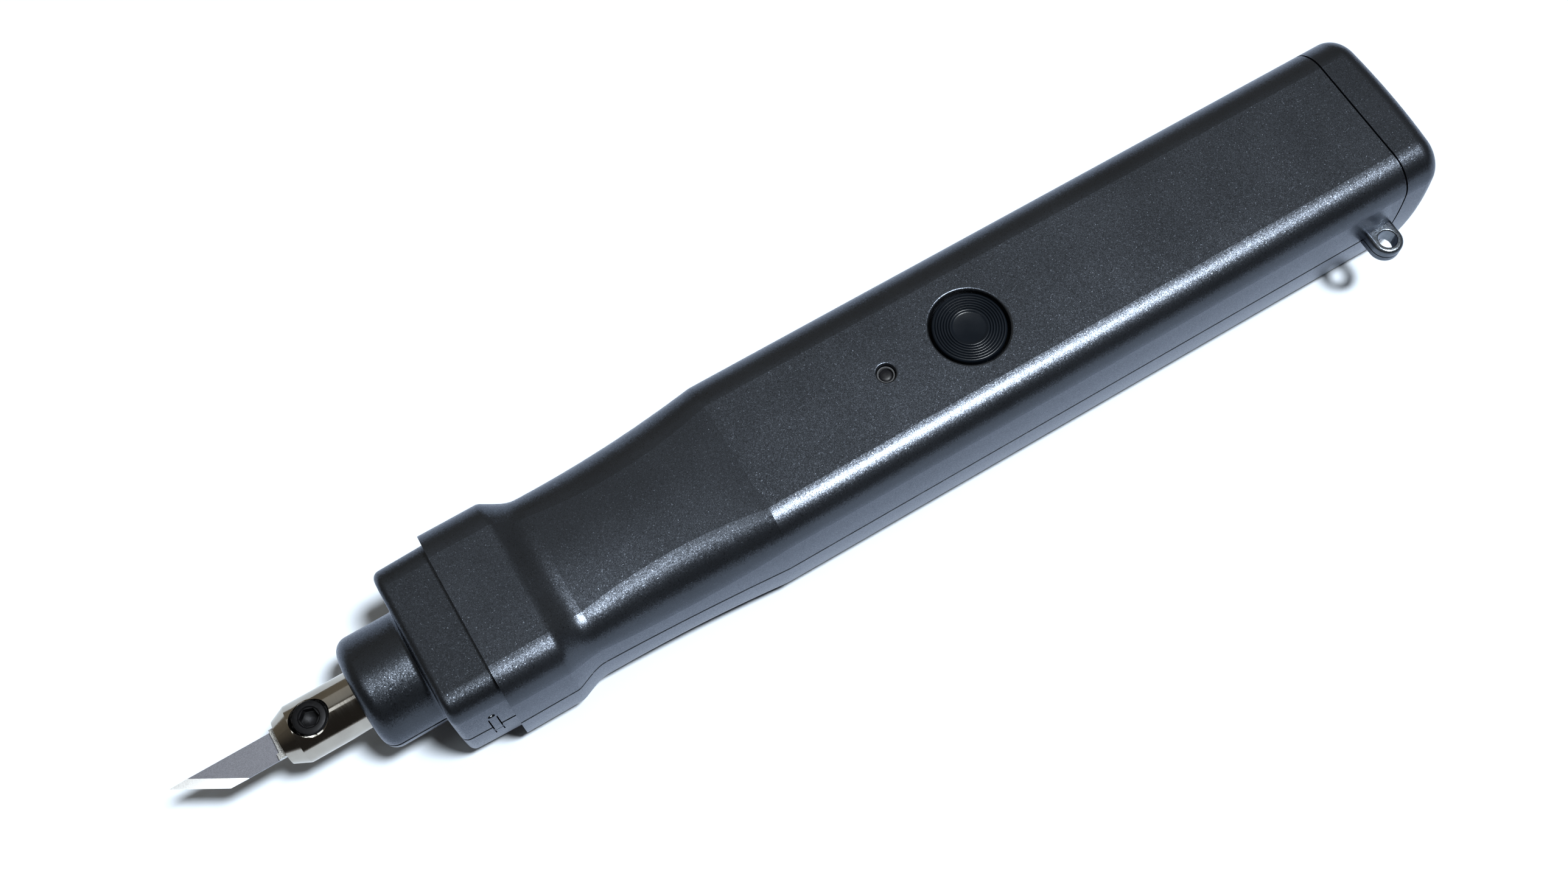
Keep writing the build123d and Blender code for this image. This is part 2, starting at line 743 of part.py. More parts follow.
def set_screw():
    """The hexagon socket screw over the blade."""
    top = axis_z + set_screw_top
    screw = rod_z(set_screw_x, 0, plate_top_z + blade_play, top, set_screw_radius)
    screw = chamfer(screw.edges().sort_by(Axis.Z)[-1], set_screw_edge)
    hexagon = RegularPolygon(set_screw_socket / 2, 6, major_radius=False)
    socket = extrude(hexagon, set_screw_socket_depth)
    return screw - Pos(set_screw_x, 0, top - set_screw_socket_depth) * socket


def nose_bush():
    """The flanged guide that the blade holder runs in."""
    inner = holder_radius + running_gap
    bush = tube_x(bush_front_x, bush_rear_x, bush_radius, inner)
    return bush + tube_x(bush_rear_x - bush_flange_width, bush_rear_x, bush_flange_radius, inner)


def plunger_shaft():
    """The drive shaft: it ends in the blade holder, and its flat keeps it from turning."""
    tail = rear_bush_rear_x + shaft_tail
    shaft = rod_x(holder_rear_x - shaft_socket_depth, tail, shaft_radius)
    flat_x = stator_rear_x - shaft_flat_margin
    shaft -= box(flat_x, tail, -shaft_radius, shaft_radius, axis_z + shaft_flat, axis_z + shaft_radius)
    for x in (pole_front_x - ring_thickness, pole_rear_x):
        shaft -= tube_x(x, x + ring_thickness, shaft_radius + beyond, ring_groove_radius)
    return shaft


def retaining_rings():
    """The two rings that hold the magnet and its pole pieces on the shaft."""
    inner = ring_groove_radius + seat_play
    xs = (pole_front_x - ring_thickness, pole_rear_x)
    return Compound([tube_x(x, x + ring_thickness, ring_radius, inner).solid() for x in xs])


def pole_pieces():
    """The two soft iron discs beside the magnet."""
    inner = shaft_radius + seat_play
    xs = (pole_front_x, magnet_rear_x)
    return Compound([tube_x(x, x + pole_length, mover_radius, inner).solid() for x in xs])


def coil_bobbin():
    """The spool of the two coils."""
    flange = stator_radius - stator_wall - bobbin_play
    bobbin = rod_x(bobbin_front_x, bobbin_rear_x, bobbin_core)
    for i in range(3):
        x = bobbin_front_x + i * (bobbin_flange + coil_window)
        bobbin += rod_x(x, x + bobbin_flange, flange)
    return bobbin - rod_x(bobbin_front_x, bobbin_rear_x, bobbin_inner)


def drive_coils():
    """The two windings, between the flanges of their spool."""
    coils = []
    for i in range(2):
        x = bobbin_front_x + bobbin_flange + i * (bobbin_flange + coil_window)
        coil = tube_x(x, x + coil_window, bobbin_core + coil_depth, bobbin_core + seat_play)
        coils.append(coil.solid())
    return Compound(coils)


def drive_spring(x0, x1):
    """A coil spring between two seats on the tool axis."""
    gap = spring_wire_radius + spring_seat_gap
    height = x1 - x0 - 2 * gap
    helix = Edge.make_helix(height / spring_turns, height, spring_radius)
    section = Plane(helix @ 0, z_dir=helix % 0) * Circle(spring_wire_radius)
    coil = sweep(section, helix, is_frenet=True)
    return Pos(x0 + gap, 0, axis_z) * Rot(0, 90, 0) * coil


def front_plate():
    """The front end plate of the drive."""
    front_x = stator_front_x - plate_thickness
    plate = rod_x(front_x, stator_front_x, stator_radius)
    plate += rod_x(stator_front_x, stator_front_x + plate_spigot, plate_spigot_radius)
    return plate - rod_x(front_x, stator_front_x + plate_spigot, shaft_radius + shaft_plate_gap)


def rear_plate():
    """The rear end plate of the drive, with the hub of the rear bush and holes for the coil leads."""
    spigot_x = stator_rear_x - plate_spigot
    disc_rear_x = stator_rear_x + plate_thickness
    plate = rod_x(stator_rear_x, disc_rear_x, stator_radius)
    plate += rod_x(spigot_x, stator_rear_x, plate_spigot_radius)
    plate += rod_x(stator_rear_x, rear_bush_rear_x, rear_hub_radius)
    plate -= rod_x(spigot_x, rear_bush_rear_x, rear_bush_radius + seat_play)
    hole = rod_x(spigot_x, disc_rear_x, lead_radius + drive_lead_hole_play)
    for side in (1, -1):
        plate -= Pos(0, side * drive_lead_y, 0) * hole
    return plate


def rear_bush():
    """The rear guide, with a flat in its bore that keeps the shaft from turning."""
    front_x = stator_rear_x - plate_spigot
    radius = shaft_radius + running_gap
    flat_z = axis_z + shaft_flat + running_gap
    bore = rod_x(front_x, rear_bush_rear_x, radius)
    bore -= box(front_x, rear_bush_rear_x, -radius, radius, flat_z, axis_z + radius)
    return rod_x(front_x, rear_bush_rear_x, rear_bush_radius) - bore


def control_board():
    """The circuit board under the button."""
    y = board_half_width
    board = box(board_front_x, board_rear_x, -y, y, board_bottom_z, board_top_z)
    for x, y in board_posts:
        board -= rod_z(x, y, board_bottom_z, board_top_z, board_screw_radius + hole_play)
    return board


def board_screws():
    """The screws that hold the board on its posts."""
    screws = []
    for x, y in board_posts:
        screw = rod_z(x, y, board_top_z - board_screw_length, board_top_z, board_screw_radius)
        head_z = board_top_z + board_screw_head_height
        screw += rod_z(x, y, board_top_z, head_z, board_screw_head_radius)
        screws.append(screw.solid())
    return Compound(screws)


def driver_chips():
    """The larger parts soldered on the board."""
    chips = []
    for setback, y, length, width, height in board_chips:
        x = board_front_x + setback - length / 2
        chip = box(x, x + length, y - width / 2, y + width / 2, board_top_z, board_top_z + height)
        chips.append(chip.solid())
    return Compound(chips)


def switch_body():
    """The push switch on the board, open at the top for its plunger."""
    half = switch_width / 2
    body = box(button_x - half, button_x + half, -half, half, board_top_z, switch_top_z)
    floor_z = switch_top_z - switch_plunger_depth - button_travel - switch_plunger_gap
    return body - rod_z(button_x, 0, floor_z, switch_top_z, switch_plunger_radius + switch_plunger_gap)


def button_cap():
    """The round button: a plain disc in the middle, ring ridges, a smooth rim and a flange below."""
    cap = rod_z(button_x, 0, button_flange_z, button_top_z, button_radius)
    cap = chamfer(cap.edges().sort_by(Axis.Z)[-1], button_edge)
    for i in range(button_ridges):
        inner = button_disc_radius + i * button_ridge_pitch
        outer = inner + button_ridge_pitch / 2
        groove_z = button_top_z - button_ridge_height
        ring = rod_z(button_x, 0, groove_z, button_top_z, outer)
        cap -= ring - rod_z(button_x, 0, groove_z, button_top_z, inner)
    flange_top_z = button_flange_z + button_flange_thickness
    cap += rod_z(button_x, 0, button_flange_z, flange_top_z, button_flange_radius)
    return cap + rod_z(button_x, 0, button_foot_z, button_flange_z, button_stem_radius)


def indicator_led():
    """The round indicator, with its dome just inside the hole above it."""
    dome_z = led_top_z - led_radius
    led = rod_z(led_x, 0, led_base_z, dome_z, led_radius)
    led += Pos(led_x, 0, dome_z) * Sphere(led_radius)
    return led + rod_z(led_x, 0, led_base_z, led_base_z + led_flange_height, led_flange_radius)


def led_leads():
    """The two legs that stand the indicator off the board."""
    half = led_lead_width / 2
    legs = []
    for side in (1, -1):
        x = led_x + side * led_lead_pitch / 2
        legs.append(box(x - half, x + half, -half, half, board_top_z, led_base_z).solid())
    return Compound(legs)


def battery_cell():
    """The round lithium cell."""
    cell = rod_x(cell_body_x, cell_rear_x, cell_radius)
    cell = fillet(cell.edges().filter_by(GeomType.CIRCLE), cell_edge_radius)
    return cell + rod_x(cell_front_x, cell_body_x, cell_nub_radius)


def battery_tabs():
    """The two contact strips on the ends of the cell."""
    low = axis_z - tab_width / 2
    high = axis_z + tab_width / 2
    reach = lead_y + tab_margin
    front = box(cell_front_x - tab_thickness, cell_front_x, -tab_overlap, tab_overlap, low, high)
    rear = box(cell_rear_x, cell_rear_x + tab_thickness, -tab_overlap, reach, low, high)
    return Compound([front.solid(), rear.solid()])


def charge_board():
    """The small board in the tail that carries the charging socket."""
    y = charge_board_half
    return box(charge_board_x, charge_board_rear_x, -y, y, charge_board_bottom_z, charge_board_top_z)


def charge_socket():
    """The charging socket: a flat oval shell, closed at the back, with a tongue inside."""
    outside = Plane.YZ * SlotOverall(socket_width, socket_height)
    inside = Plane.YZ * SlotOverall(socket_width - 2 * socket_skin, socket_height - 2 * socket_skin)
    back_x = socket_mouth_x - socket_length
    floor_x = socket_mouth_x - socket_depth
    socket = Pos(back_x, 0, axis_z) * extrude(outside, socket_length)
    socket -= Pos(floor_x, 0, axis_z) * extrude(inside, socket_depth)
    y = socket_tongue_width / 2
    z = socket_tongue_height / 2
    return socket + box(back_x, floor_x + socket_tongue_length, -y, y, axis_z - z, axis_z + z)


def lead(points, radius):
    """An insulated wire along straight runs with rounded bends."""
    path = FilletPolyline(*points, radius=lead_bend)
    return sweep(Plane(path @ 0, z_dir=path % 0) * Circle(radius), path).solid()


def battery_leads():
    """The wires from the cell's contact strips to the board."""
    end_x = board_rear_x - lead_board_setback
    turn_x = cell_front_x - tab_thickness
    front = [(turn_x, front_lead_y, axis_z), (end_x, front_lead_y, axis_z)]
    front.append((end_x, front_lead_y, board_bottom_z))
    rear = [(cell_rear_x, lead_y, axis_z), (turn_x, lead_y, axis_z)]
    rear += [(end_x, lead_board_y, axis_z), (end_x, lead_board_y, board_bottom_z)]
    return Compound([lead(front, lead_radius), lead(rear, lead_radius)])


def charge_lead():
    """The two-core wire from the charging board to the control board."""
    z = charge_lead_z
    end_x = board_rear_x - lead_board_setback
    points = [(charge_board_x, -lead_y, z), (cell_front_x - tab_thickness, -lead_y, z)]
    points += [(end_x, -lead_board_y, z), (end_x, -lead_board_y, board_bottom_z)]
    return lead(points, charge_lead_radius)


def drive_leads():
    """The wires from the coils to the board."""
    z = board_top_z - board_thickness / 2
    turn_x = stator_rear_x + plate_thickness + drive_lead_run
    rise_x = board_front_x - drive_lead_run
    leads = []
    for y in (drive_lead_y, -drive_lead_y):
        points = [(bobbin_rear_x, y, axis_z), (turn_x, y, axis_z), (rise_x, y, z), (board_front_x, y, z)]
        leads.append(lead(points, lead_radius))
    return Compound(leads)


os.makedirs("parts", exist_ok=True)
nose_upper, nose_lower = nose_halves()
save("upper_shell", upper_shell())
save("lower_shell", lower_shell())
save("nose_upper", nose_upper)
save("nose_lower", nose_lower)
save("end_cap", end_cap())
save("shell_screws", shell_screws())
save("blade", blade())
save("blade_holder", blade_holder())
save("clamp_plate", clamp_plate())
save("set_screw", set_screw())
save("nose_seal", tube_x(seal_front_x, bush_front_x, seal_radius, holder_radius + seal_gap))
save("nose_bush", nose_bush())
save("plunger_shaft", plunger_shaft())
save("drive_magnet", tube_x(magnet_front_x, magnet_rear_x, mover_radius, shaft_radius + seat_play))
save("pole_pieces", pole_pieces())
save("retaining_rings", retaining_rings())
save("stator_tube", tube_x(stator_front_x, stator_rear_x, stator_radius, stator_radius - stator_wall))
save("front_plate", front_plate())
save("rear_plate", rear_plate())
save("rear_bush", rear_bush())
save("coil_bobbin", coil_bobbin())
save("drive_coils", drive_coils())
save("front_spring", drive_spring(stator_front_x + plate_spigot, pole_front_x))
save("rear_spring", drive_spring(pole_rear_x, stator_rear_x - plate_spigot))
save("control_board", control_board())
save("board_screws", board_screws())
save("driver_chips", driver_chips())
save("switch_body", switch_body())
plunger_z = switch_top_z - switch_plunger_depth
save("switch_plunger", rod_z(button_x, 0, plunger_z, button_foot_z, switch_plunger_radius))
save("button_cap", button_cap())
save("indicator_led", indicator_led())
save("led_leads", led_leads())
save("battery_cell", battery_cell())
save("battery_tabs", battery_tabs())
save("battery_leads", battery_leads())
save("charge_board", charge_board())
save("charge_socket", charge_socket())
save("charge_lead", charge_lead())
save("drive_leads", drive_leads())
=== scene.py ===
import bpy
import bmesh
import math
from mathutils import Matrix, Vector


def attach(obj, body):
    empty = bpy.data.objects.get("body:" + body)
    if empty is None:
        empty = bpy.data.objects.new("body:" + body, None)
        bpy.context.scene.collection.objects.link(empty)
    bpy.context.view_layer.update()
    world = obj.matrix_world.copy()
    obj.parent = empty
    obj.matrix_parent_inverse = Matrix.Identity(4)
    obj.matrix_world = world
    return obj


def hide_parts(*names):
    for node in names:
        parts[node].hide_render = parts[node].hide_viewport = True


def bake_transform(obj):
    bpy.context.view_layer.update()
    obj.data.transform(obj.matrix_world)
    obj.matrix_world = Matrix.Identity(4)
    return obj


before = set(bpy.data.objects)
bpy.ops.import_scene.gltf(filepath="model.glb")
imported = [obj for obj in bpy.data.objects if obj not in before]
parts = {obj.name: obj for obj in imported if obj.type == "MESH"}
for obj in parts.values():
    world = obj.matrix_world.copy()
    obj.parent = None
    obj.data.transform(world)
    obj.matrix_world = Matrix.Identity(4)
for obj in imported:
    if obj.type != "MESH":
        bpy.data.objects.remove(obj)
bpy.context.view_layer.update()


# Housing halves: two nylon mouldings that meet along a shadow line and are screwed from below.
# They are sprayed with a satin charcoal paint full of fine metal flake. Round the lug hole the
# paint is painted paler and glossier, a painted highlight for the light on the lug's rounded ring.

def new_finish(name):
    """A fresh material, with its node tree and its shader."""
    finish = bpy.data.materials.new(name)
    finish.use_nodes = True
    return finish, finish.node_tree, finish.node_tree.nodes["Principled BSDF"]


def new_effect(name, wanted, given):
    """A fresh node group, with the inputs it wants, the outputs it gives, and its two end nodes."""
    effect = bpy.data.node_groups.new(name, "ShaderNodeTree")
    for label, value in wanted.items():
        socket = effect.interface.new_socket(label, in_out="INPUT", socket_type="NodeSocketFloat")
        socket.default_value = value
    for label, kind in given.items():
        effect.interface.new_socket(label, in_out="OUTPUT", socket_type=kind)
    return effect, effect.nodes.new("NodeGroupInput"), effect.nodes.new("NodeGroupOutput")


def use_effect(tree, effect, **values):
    """The node group as a node in a material, with its own values."""
    node = tree.nodes.new("ShaderNodeGroup")
    node.node_tree = effect
    for label, value in values.items():
        node.inputs[label.capitalize()].default_value = value
    return node


def fill_socket(tree, socket, value):
    """Sets a socket to a fixed value, or joins it to the output of another node."""
    if isinstance(value, (int, float, tuple)):
        socket.default_value = value
    else:
        tree.links.new(value, socket)


def math_node(tree, operation, first, second=0.0):
    """A sum on two values, each a number or the output of another node."""
    node = tree.nodes.new("ShaderNodeMath")
    node.operation = operation
    fill_socket(tree, node.inputs[0], first)
    fill_socket(tree, node.inputs[1], second)
    return node.outputs[0]


def vector_node(tree, operation, first, second=(0, 0, 0)):
    """A sum on two vectors, each fixed or the output of another node."""
    node = tree.nodes.new("ShaderNodeVectorMath")
    node.operation = operation
    fill_socket(tree, node.inputs[0], first)
    fill_socket(tree, node.inputs[1], second)
    return node


def blend_node(tree, share, low, high):
    """A mix of two colours, each fixed or the output of another node, by a share from 0 to 1."""
    node = tree.nodes.new("ShaderNodeMix")
    node.data_type = "RGBA"
    tree.links.new(share, node.inputs[0])
    for socket, colour in ((node.inputs[6], low), (node.inputs[7], high)):
        fill_socket(tree, socket, (*colour, 1) if isinstance(colour, tuple) else colour)
    return node.outputs[2]


def span_node(tree, value, old_range, new_range=(0.0, 1.0)):
    """A value taken from one range to another, and held inside it."""
    node = tree.nodes.new("ShaderNodeMapRange")
    tree.links.new(value, node.inputs["Value"])
    node.inputs["From Min"].default_value, node.inputs["From Max"].default_value = old_range
    node.inputs["To Min"].default_value, node.inputs["To Max"].default_value = new_range
    return node.outputs[0]


def place_node(tree):
    """Where a point lies on the piece."""
    return tree.nodes.new("ShaderNodeTexCoord").outputs["Object"]


def noise_node(tree, scale, detail=2.0, stretch=(1, 1, 1)):
    """Cloudy variation over the piece, finer for a larger scale, drawn out if wanted."""
    node = tree.nodes.new("ShaderNodeTexNoise")
    node.inputs["Scale"].default_value = scale
    node.inputs["Detail"].default_value = detail
    drawn_out = vector_node(tree, "MULTIPLY", place_node(tree), stretch).outputs[0]
    tree.links.new(drawn_out, node.inputs["Vector"])
    return node.outputs["Fac"]


def from_axis(tree, x, y):
    """How far a point on the piece lies from an upright axis."""
    aside = vector_node(tree, "SUBTRACT", place_node(tree), (x, y, 0)).outputs[0]
    level = vector_node(tree, "MULTIPLY", aside, (1, 1, 0)).outputs[0]
    return vector_node(tree, "LENGTH", level).outputs["Value"]


metal_flake, wants, gives = new_effect(
    "metal_flake",
    {"Fineness": 7500.0, "Share": 0.14, "Grain": 0.08, "Lean": 0.10},
    {"Flake": "NodeSocketFloat", "Normal": "NodeSocketVector"},
)
middle, dust_size, dust_tilt = (0.5, 0.5, 0.5), 3e-5, 0.145
place = place_node(metal_flake)
cells = metal_flake.nodes.new("ShaderNodeTexVoronoi")
metal_flake.links.new(place, cells.inputs["Vector"])
metal_flake.links.new(wants.outputs["Fineness"], cells.inputs["Scale"])
chance = metal_flake.nodes.new("ShaderNodeSeparateColor")
metal_flake.links.new(cells.outputs["Color"], chance.inputs[0])
picked = math_node(metal_flake, "LESS_THAN", chance.outputs[0], wants.outputs["Share"])
shine = span_node(metal_flake, chance.outputs[1], (0.0, 1.0), (0.3, 1.0))
metal_flake.links.new(math_node(metal_flake, "MULTIPLY", picked, shine), gives.inputs["Flake"])
own_way = metal_flake.nodes.new("ShaderNodeTexWhiteNoise")
metal_flake.links.new(cells.outputs["Position"], own_way.inputs["Vector"])
aside = vector_node(metal_flake, "SUBTRACT", own_way.outputs["Color"], middle).outputs[0]
tilt = vector_node(metal_flake, "SCALE", aside)
amount = math_node(metal_flake, "MULTIPLY", picked, wants.outputs["Lean"])
amount = math_node(metal_flake, "ADD", amount, wants.outputs["Grain"])
metal_flake.links.new(amount, tilt.inputs["Scale"])
dust = metal_flake.nodes.new("ShaderNodeTexWhiteNoise")
specks = vector_node(metal_flake, "SNAP", place, (dust_size,) * 3).outputs[0]
metal_flake.links.new(specks, dust.inputs["Vector"])
spread = vector_node(metal_flake, "SUBTRACT", dust.outputs["Color"], middle).outputs[0]
spread = vector_node(metal_flake, "MULTIPLY", spread, (dust_tilt,) * 3).outputs[0]
facing = metal_flake.nodes.new("ShaderNodeNewGeometry").outputs["Normal"]
tilted = vector_node(metal_flake, "ADD", facing, tilt.outputs[0]).outputs[0]
tilted = vector_node(metal_flake, "ADD", tilted, spread).outputs[0]
tilted = vector_node(metal_flake, "NORMALIZE", tilted).outputs[0]
metal_flake.links.new(tilted, gives.inputs["Normal"])


def flake_paint(name, ground, fineness, share, grain, smooth, rough):
    """Charcoal metallic paint on a fine grain, with some flakes that face their own way."""
    finish, tree, shader = new_finish(name)
    flakes = use_effect(tree, metal_flake, fineness=fineness, share=share, grain=grain, lean=0.10)
    flake = flakes.outputs["Flake"]
    clouds = span_node(tree, noise_node(tree, scale=90, detail=3), (0.35, 0.65))
    dark, light, bright = (tuple(tone * c for c in ground) for tone in (0.94, 1.06, 1.12))
    paint = blend_node(tree, flake, blend_node(tree, clouds, dark, light), bright)
    tree.links.new(paint, shader.inputs["Base Color"])
    tree.links.new(span_node(tree, flake, (0, 1), (0.9, 1.0)), shader.inputs["Metallic"])
    handled = span_node(tree, noise_node(tree, scale=45, detail=4), (0.3, 0.7), (smooth, rough))
    tree.links.new(handled, shader.inputs["Roughness"])
    tree.links.new(flakes.outputs["Normal"], shader.inputs["Normal"])
    shader.inputs["Specular Tint"].default_value = (0.84, 0.87, 0.95, 1)
    return finish


def dress(finish, *names):
    """Gives solids of the frame their finish."""
    for name in names:
        parts[name].data.materials.clear()
        parts[name].data.materials.append(finish)


housing_paint = flake_paint(
    "housing_paint", (0.0568, 0.0635, 0.0762),
    fineness=7500, share=0.14, grain=0.080, smooth=0.285, rough=0.31,
)
# A paler, glossier ring of paint round the lug hole: a painted highlight on the lug's rounded ring.
lug_x, lug_y, highlight_inner_radius, highlight_outer_radius = 0.0937, -0.0171, 0.0019, 0.0029
tree = housing_paint.node_tree
shader = tree.nodes["Principled BSDF"]
from_hole = from_axis(tree, lug_x, lug_y)
on_lug = span_node(tree, from_hole, (highlight_inner_radius, highlight_outer_radius), (1.0, 0.0))
patchy = span_node(tree, noise_node(tree, scale=1200, detail=3), (0.3, 0.6), (0.7, 1.0))
lug_highlight_mask = math_node(tree, "MULTIPLY", on_lug, patchy)
painted = shader.inputs["Base Color"].links[0].from_socket
sheen = shader.inputs["Roughness"].links[0].from_socket
lug_highlight_paint = blend_node(tree, lug_highlight_mask, painted, (0.160, 0.178, 0.200))
tree.links.new(lug_highlight_paint, shader.inputs["Base Color"])
lug_gloss = span_node(tree, lug_highlight_mask, (0, 1), (0.0, -0.04))
tree.links.new(math_node(tree, "ADD", sheen, lug_gloss), shader.inputs["Roughness"])
dress(housing_paint, "lower_shell", "upper_shell")


# Nose halves: the block in front of the collar and the round snout, moulded in two halves like the
# housing and sprayed with the same paint, a little darker and coarser in its grain.

nose_paint = flake_paint(
    "nose_paint", (0.0485, 0.0543, 0.0648),
    fineness=7000, share=0.16, grain=0.100, smooth=0.285, rough=0.31,
)
dress(nose_paint, "nose_lower", "nose_upper")


# Latch pins: a short bright dowel in the small hole over each side latch of the nose.
# Turned from steel, domed at the end, and pressed in to the bottom of its hole.

def pick(piece):
    """Selects one piece and nothing else."""
    bpy.ops.object.select_all(action="DESELECT")
    piece.select_set(True)
    bpy.context.view_layer.objects.active = piece


def settle(piece):
    """Takes the place, the turn and the scale of a piece into its mesh."""
    pick(piece)
    bpy.ops.object.transform_apply(location=True, rotation=True, scale=True)


def finish_edit():
    """Turns all the faces of the piece in edit mode outwards, and leaves edit mode."""
    bpy.ops.mesh.select_all(action="SELECT")
    bpy.ops.mesh.normals_make_consistent(inside=False)
    bpy.ops.object.mode_set(mode="OBJECT")


def turned_piece(name, x, y, outline, sides):
    """A piece turned about an upright axis, pulled out ring by ring from first disc to last."""
    bpy.ops.object.select_all(action="DESELECT")
    radius, height = outline[0]
    bpy.ops.mesh.primitive_circle_add(
        vertices=sides, radius=radius, fill_type="NGON", location=(x, y, height)
    )
    piece = bpy.context.object
    piece.name = name
    settle(piece)
    bpy.ops.object.mode_set(mode="EDIT")
    bpy.ops.mesh.select_all(action="SELECT")
    for new_radius, new_height in outline[1:]:
        bpy.ops.mesh.extrude_region_move(
            TRANSFORM_OT_translate={"value": (0, 0, new_height - height)}
        )
        stretch = new_radius / radius
        bpy.ops.transform.resize(value=(stretch, stretch, 1))
        radius, height = new_radius, new_height
    finish_edit()
    bpy.ops.object.shade_smooth_by_angle(angle=math.radians(35))
    return piece


def copy_piece(piece, name, shift=(0, 0, 0), scale=(1, 1, 1)):
    """A copy with its own mesh, shifted, and mirrored where the scale is negative."""
    pick(piece)
    bpy.ops.object.duplicate()
    copy = bpy.context.object
    copy.name = name
    copy.location = shift
    copy.scale = scale
    settle(copy)
    if min(scale) < 0:
        bpy.ops.object.mode_set(mode="EDIT")
        finish_edit()
    return copy


def mottled_finish(name, fineness, detail, dark, light, smooth, rough, metallic=0.0, specular=0.5):
    """A finish whose tone and gloss vary together in one cloudy pattern."""
    finish, tree, shader = new_finish(name)
    mottle = noise_node(tree, scale=fineness, detail=detail)
    tree.links.new(blend_node(tree, mottle, dark, light), shader.inputs["Base Color"])
    tree.links.new(span_node(tree, mottle, (0.3, 0.7), (smooth, rough)), shader.inputs["Roughness"])
    shader.inputs["Metallic"].default_value = metallic
    shader.inputs["Specular IOR Level"].default_value = specular
    return finish


pin_x, pin_z, pin_radius, pin_foot, pin_dome = -0.061, 0.0172, 0.0002, 0.01255, 0.01296
pin_outline = [(pin_radius, pin_foot), (pin_radius, pin_dome)]
for degrees in (20, 40, 60, 75):
    lift = math.radians(degrees)
    pin_outline.append((pin_radius * math.cos(lift), pin_dome + pin_radius * math.sin(lift)))
far_pin = turned_piece("latch_pin_far", 0, 0, pin_outline, sides=24)
far_pin.rotation_euler = (math.radians(-90), 0, 0)
far_pin.location = (pin_x, 0, pin_z)
settle(far_pin)
near_pin = copy_piece(far_pin, "latch_pin_near", scale=(1, -1, 1))
pin_steel = mottled_finish(
    "pin_steel", fineness=9000, detail=2, dark=(0.72, 0.71, 0.70), light=(0.84, 0.83, 0.81),
    smooth=0.10, rough=0.22, metallic=1,
)
for pin in (far_pin, near_pin):
    pin.data.materials.append(pin_steel)
    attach(pin, "housing")


# End cap: the tail is closed by a separate moulding behind the second seam, held by a ribbed
# spigot. The same paint, laid on wetter, so that it is smoother and its flakes lie flatter.

cap_paint = flake_paint(
    "cap_paint", (0.0522, 0.0583, 0.0702),
    fineness=7500, share=0.12, grain=0.072, smooth=0.28, rough=0.305,
)
dress(cap_paint, "end_cap")


# Housing screws: six pan-head screws with a cross recess, sunk in wells in the underside.
# Cold-headed steel with rolled threads, blackened.

def cut_away(piece, cutter):
    """Takes the cutter's shape out of the piece, and the cutter away."""
    pick(piece)
    cut = piece.modifiers.new("cut", "BOOLEAN")
    cut.operation = "DIFFERENCE"
    cut.solver = "EXACT"
    cut.object = cutter
    bpy.ops.object.modifier_apply(modifier=cut.name)
    bpy.data.objects.remove(cutter, do_unlink=True)


screw_places = [(x, y) for x in (-0.054, 0.006, 0.086) for y in (0.011, -0.011)]
head_low, head_high, head_radius = 0.0019, 0.0036, 0.0021
tip_high, tip_radius, point_radius, point_length = 0.0206, 0.0003, 0.0009, 0.0009
root_radius, crest_radius, flank, half_land = 0.00088, 0.0011, 0.00024, 0.00004
crest_drop, thread_pitch, thread_turns = 0.0012, 0.0008, 15
recess_size, recess_taper = (0.0026, 0.0005, 0.0022), 0.45
screw_outline = [(tip_radius, tip_high), (point_radius, tip_high - point_length)]
for turn in range(thread_turns):
    crest = tip_high - crest_drop - turn * thread_pitch
    screw_outline += [(root_radius, crest + flank), (crest_radius, crest + half_land)]
    screw_outline += [(crest_radius, crest - half_land), (root_radius, crest - flank)]
screw_outline += [(0.0010, head_high + 0.0012), (crest_radius, head_high), (head_radius, head_high)]
screw_outline += [(head_radius, head_low + 0.0009), (0.00204, head_low + 0.0005)]
screw_outline += [(0.00185, head_low + 0.00022), (0.0015, head_low + 0.00006), (0.0011, head_low)]
first_screw = turned_piece("housing_screw_1", *screw_places[0], screw_outline, sides=40)
for turn in (0, math.pi / 2):
    bpy.ops.object.select_all(action="DESELECT")
    bpy.ops.mesh.primitive_cube_add(
        size=1, location=(*screw_places[0], head_low), rotation=(0, 0, turn), scale=recess_size
    )
    arm = bpy.context.object
    settle(arm)
    bpy.ops.object.mode_set(mode="EDIT")
    mesh = bmesh.from_edit_mesh(arm.data)
    for face in mesh.faces:
        face.select_set(face.normal.z > 0.9)
    bmesh.update_edit_mesh(arm.data)
    bpy.ops.transform.resize(value=(recess_taper, recess_taper, 1))
    bpy.ops.object.mode_set(mode="OBJECT")
    cut_away(first_screw, arm)

screw_black, tree, shader = new_finish("screw_black")
worn = span_node(tree, noise_node(tree, scale=2500, detail=3), (0.52, 0.72))
blackened = blend_node(tree, worn, (0.020, 0.019, 0.018), (0.16, 0.15, 0.14))
tree.links.new(blackened, shader.inputs["Base Color"])
tree.links.new(span_node(tree, worn, (0.0, 1.0), (0.42, 0.28)), shader.inputs["Roughness"])
shader.inputs["Metallic"].default_value = 0.9
first_screw.data.materials.append(screw_black)
housing_screws = [first_screw]
for number, (x, y) in enumerate(screw_places[1:], 2):
    shift = (x - screw_places[0][0], y - screw_places[0][1], 0)
    housing_screws.append(copy_piece(first_screw, f"housing_screw_{number}", shift))
for screw in housing_screws:
    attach(screw, "housing")
    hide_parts("shell_screws")


# Blade: a strip of hardened steel, stoned grey on its flats, with a slanted edge that is ground
# from both faces and left bright. It is held in the holder's slot.

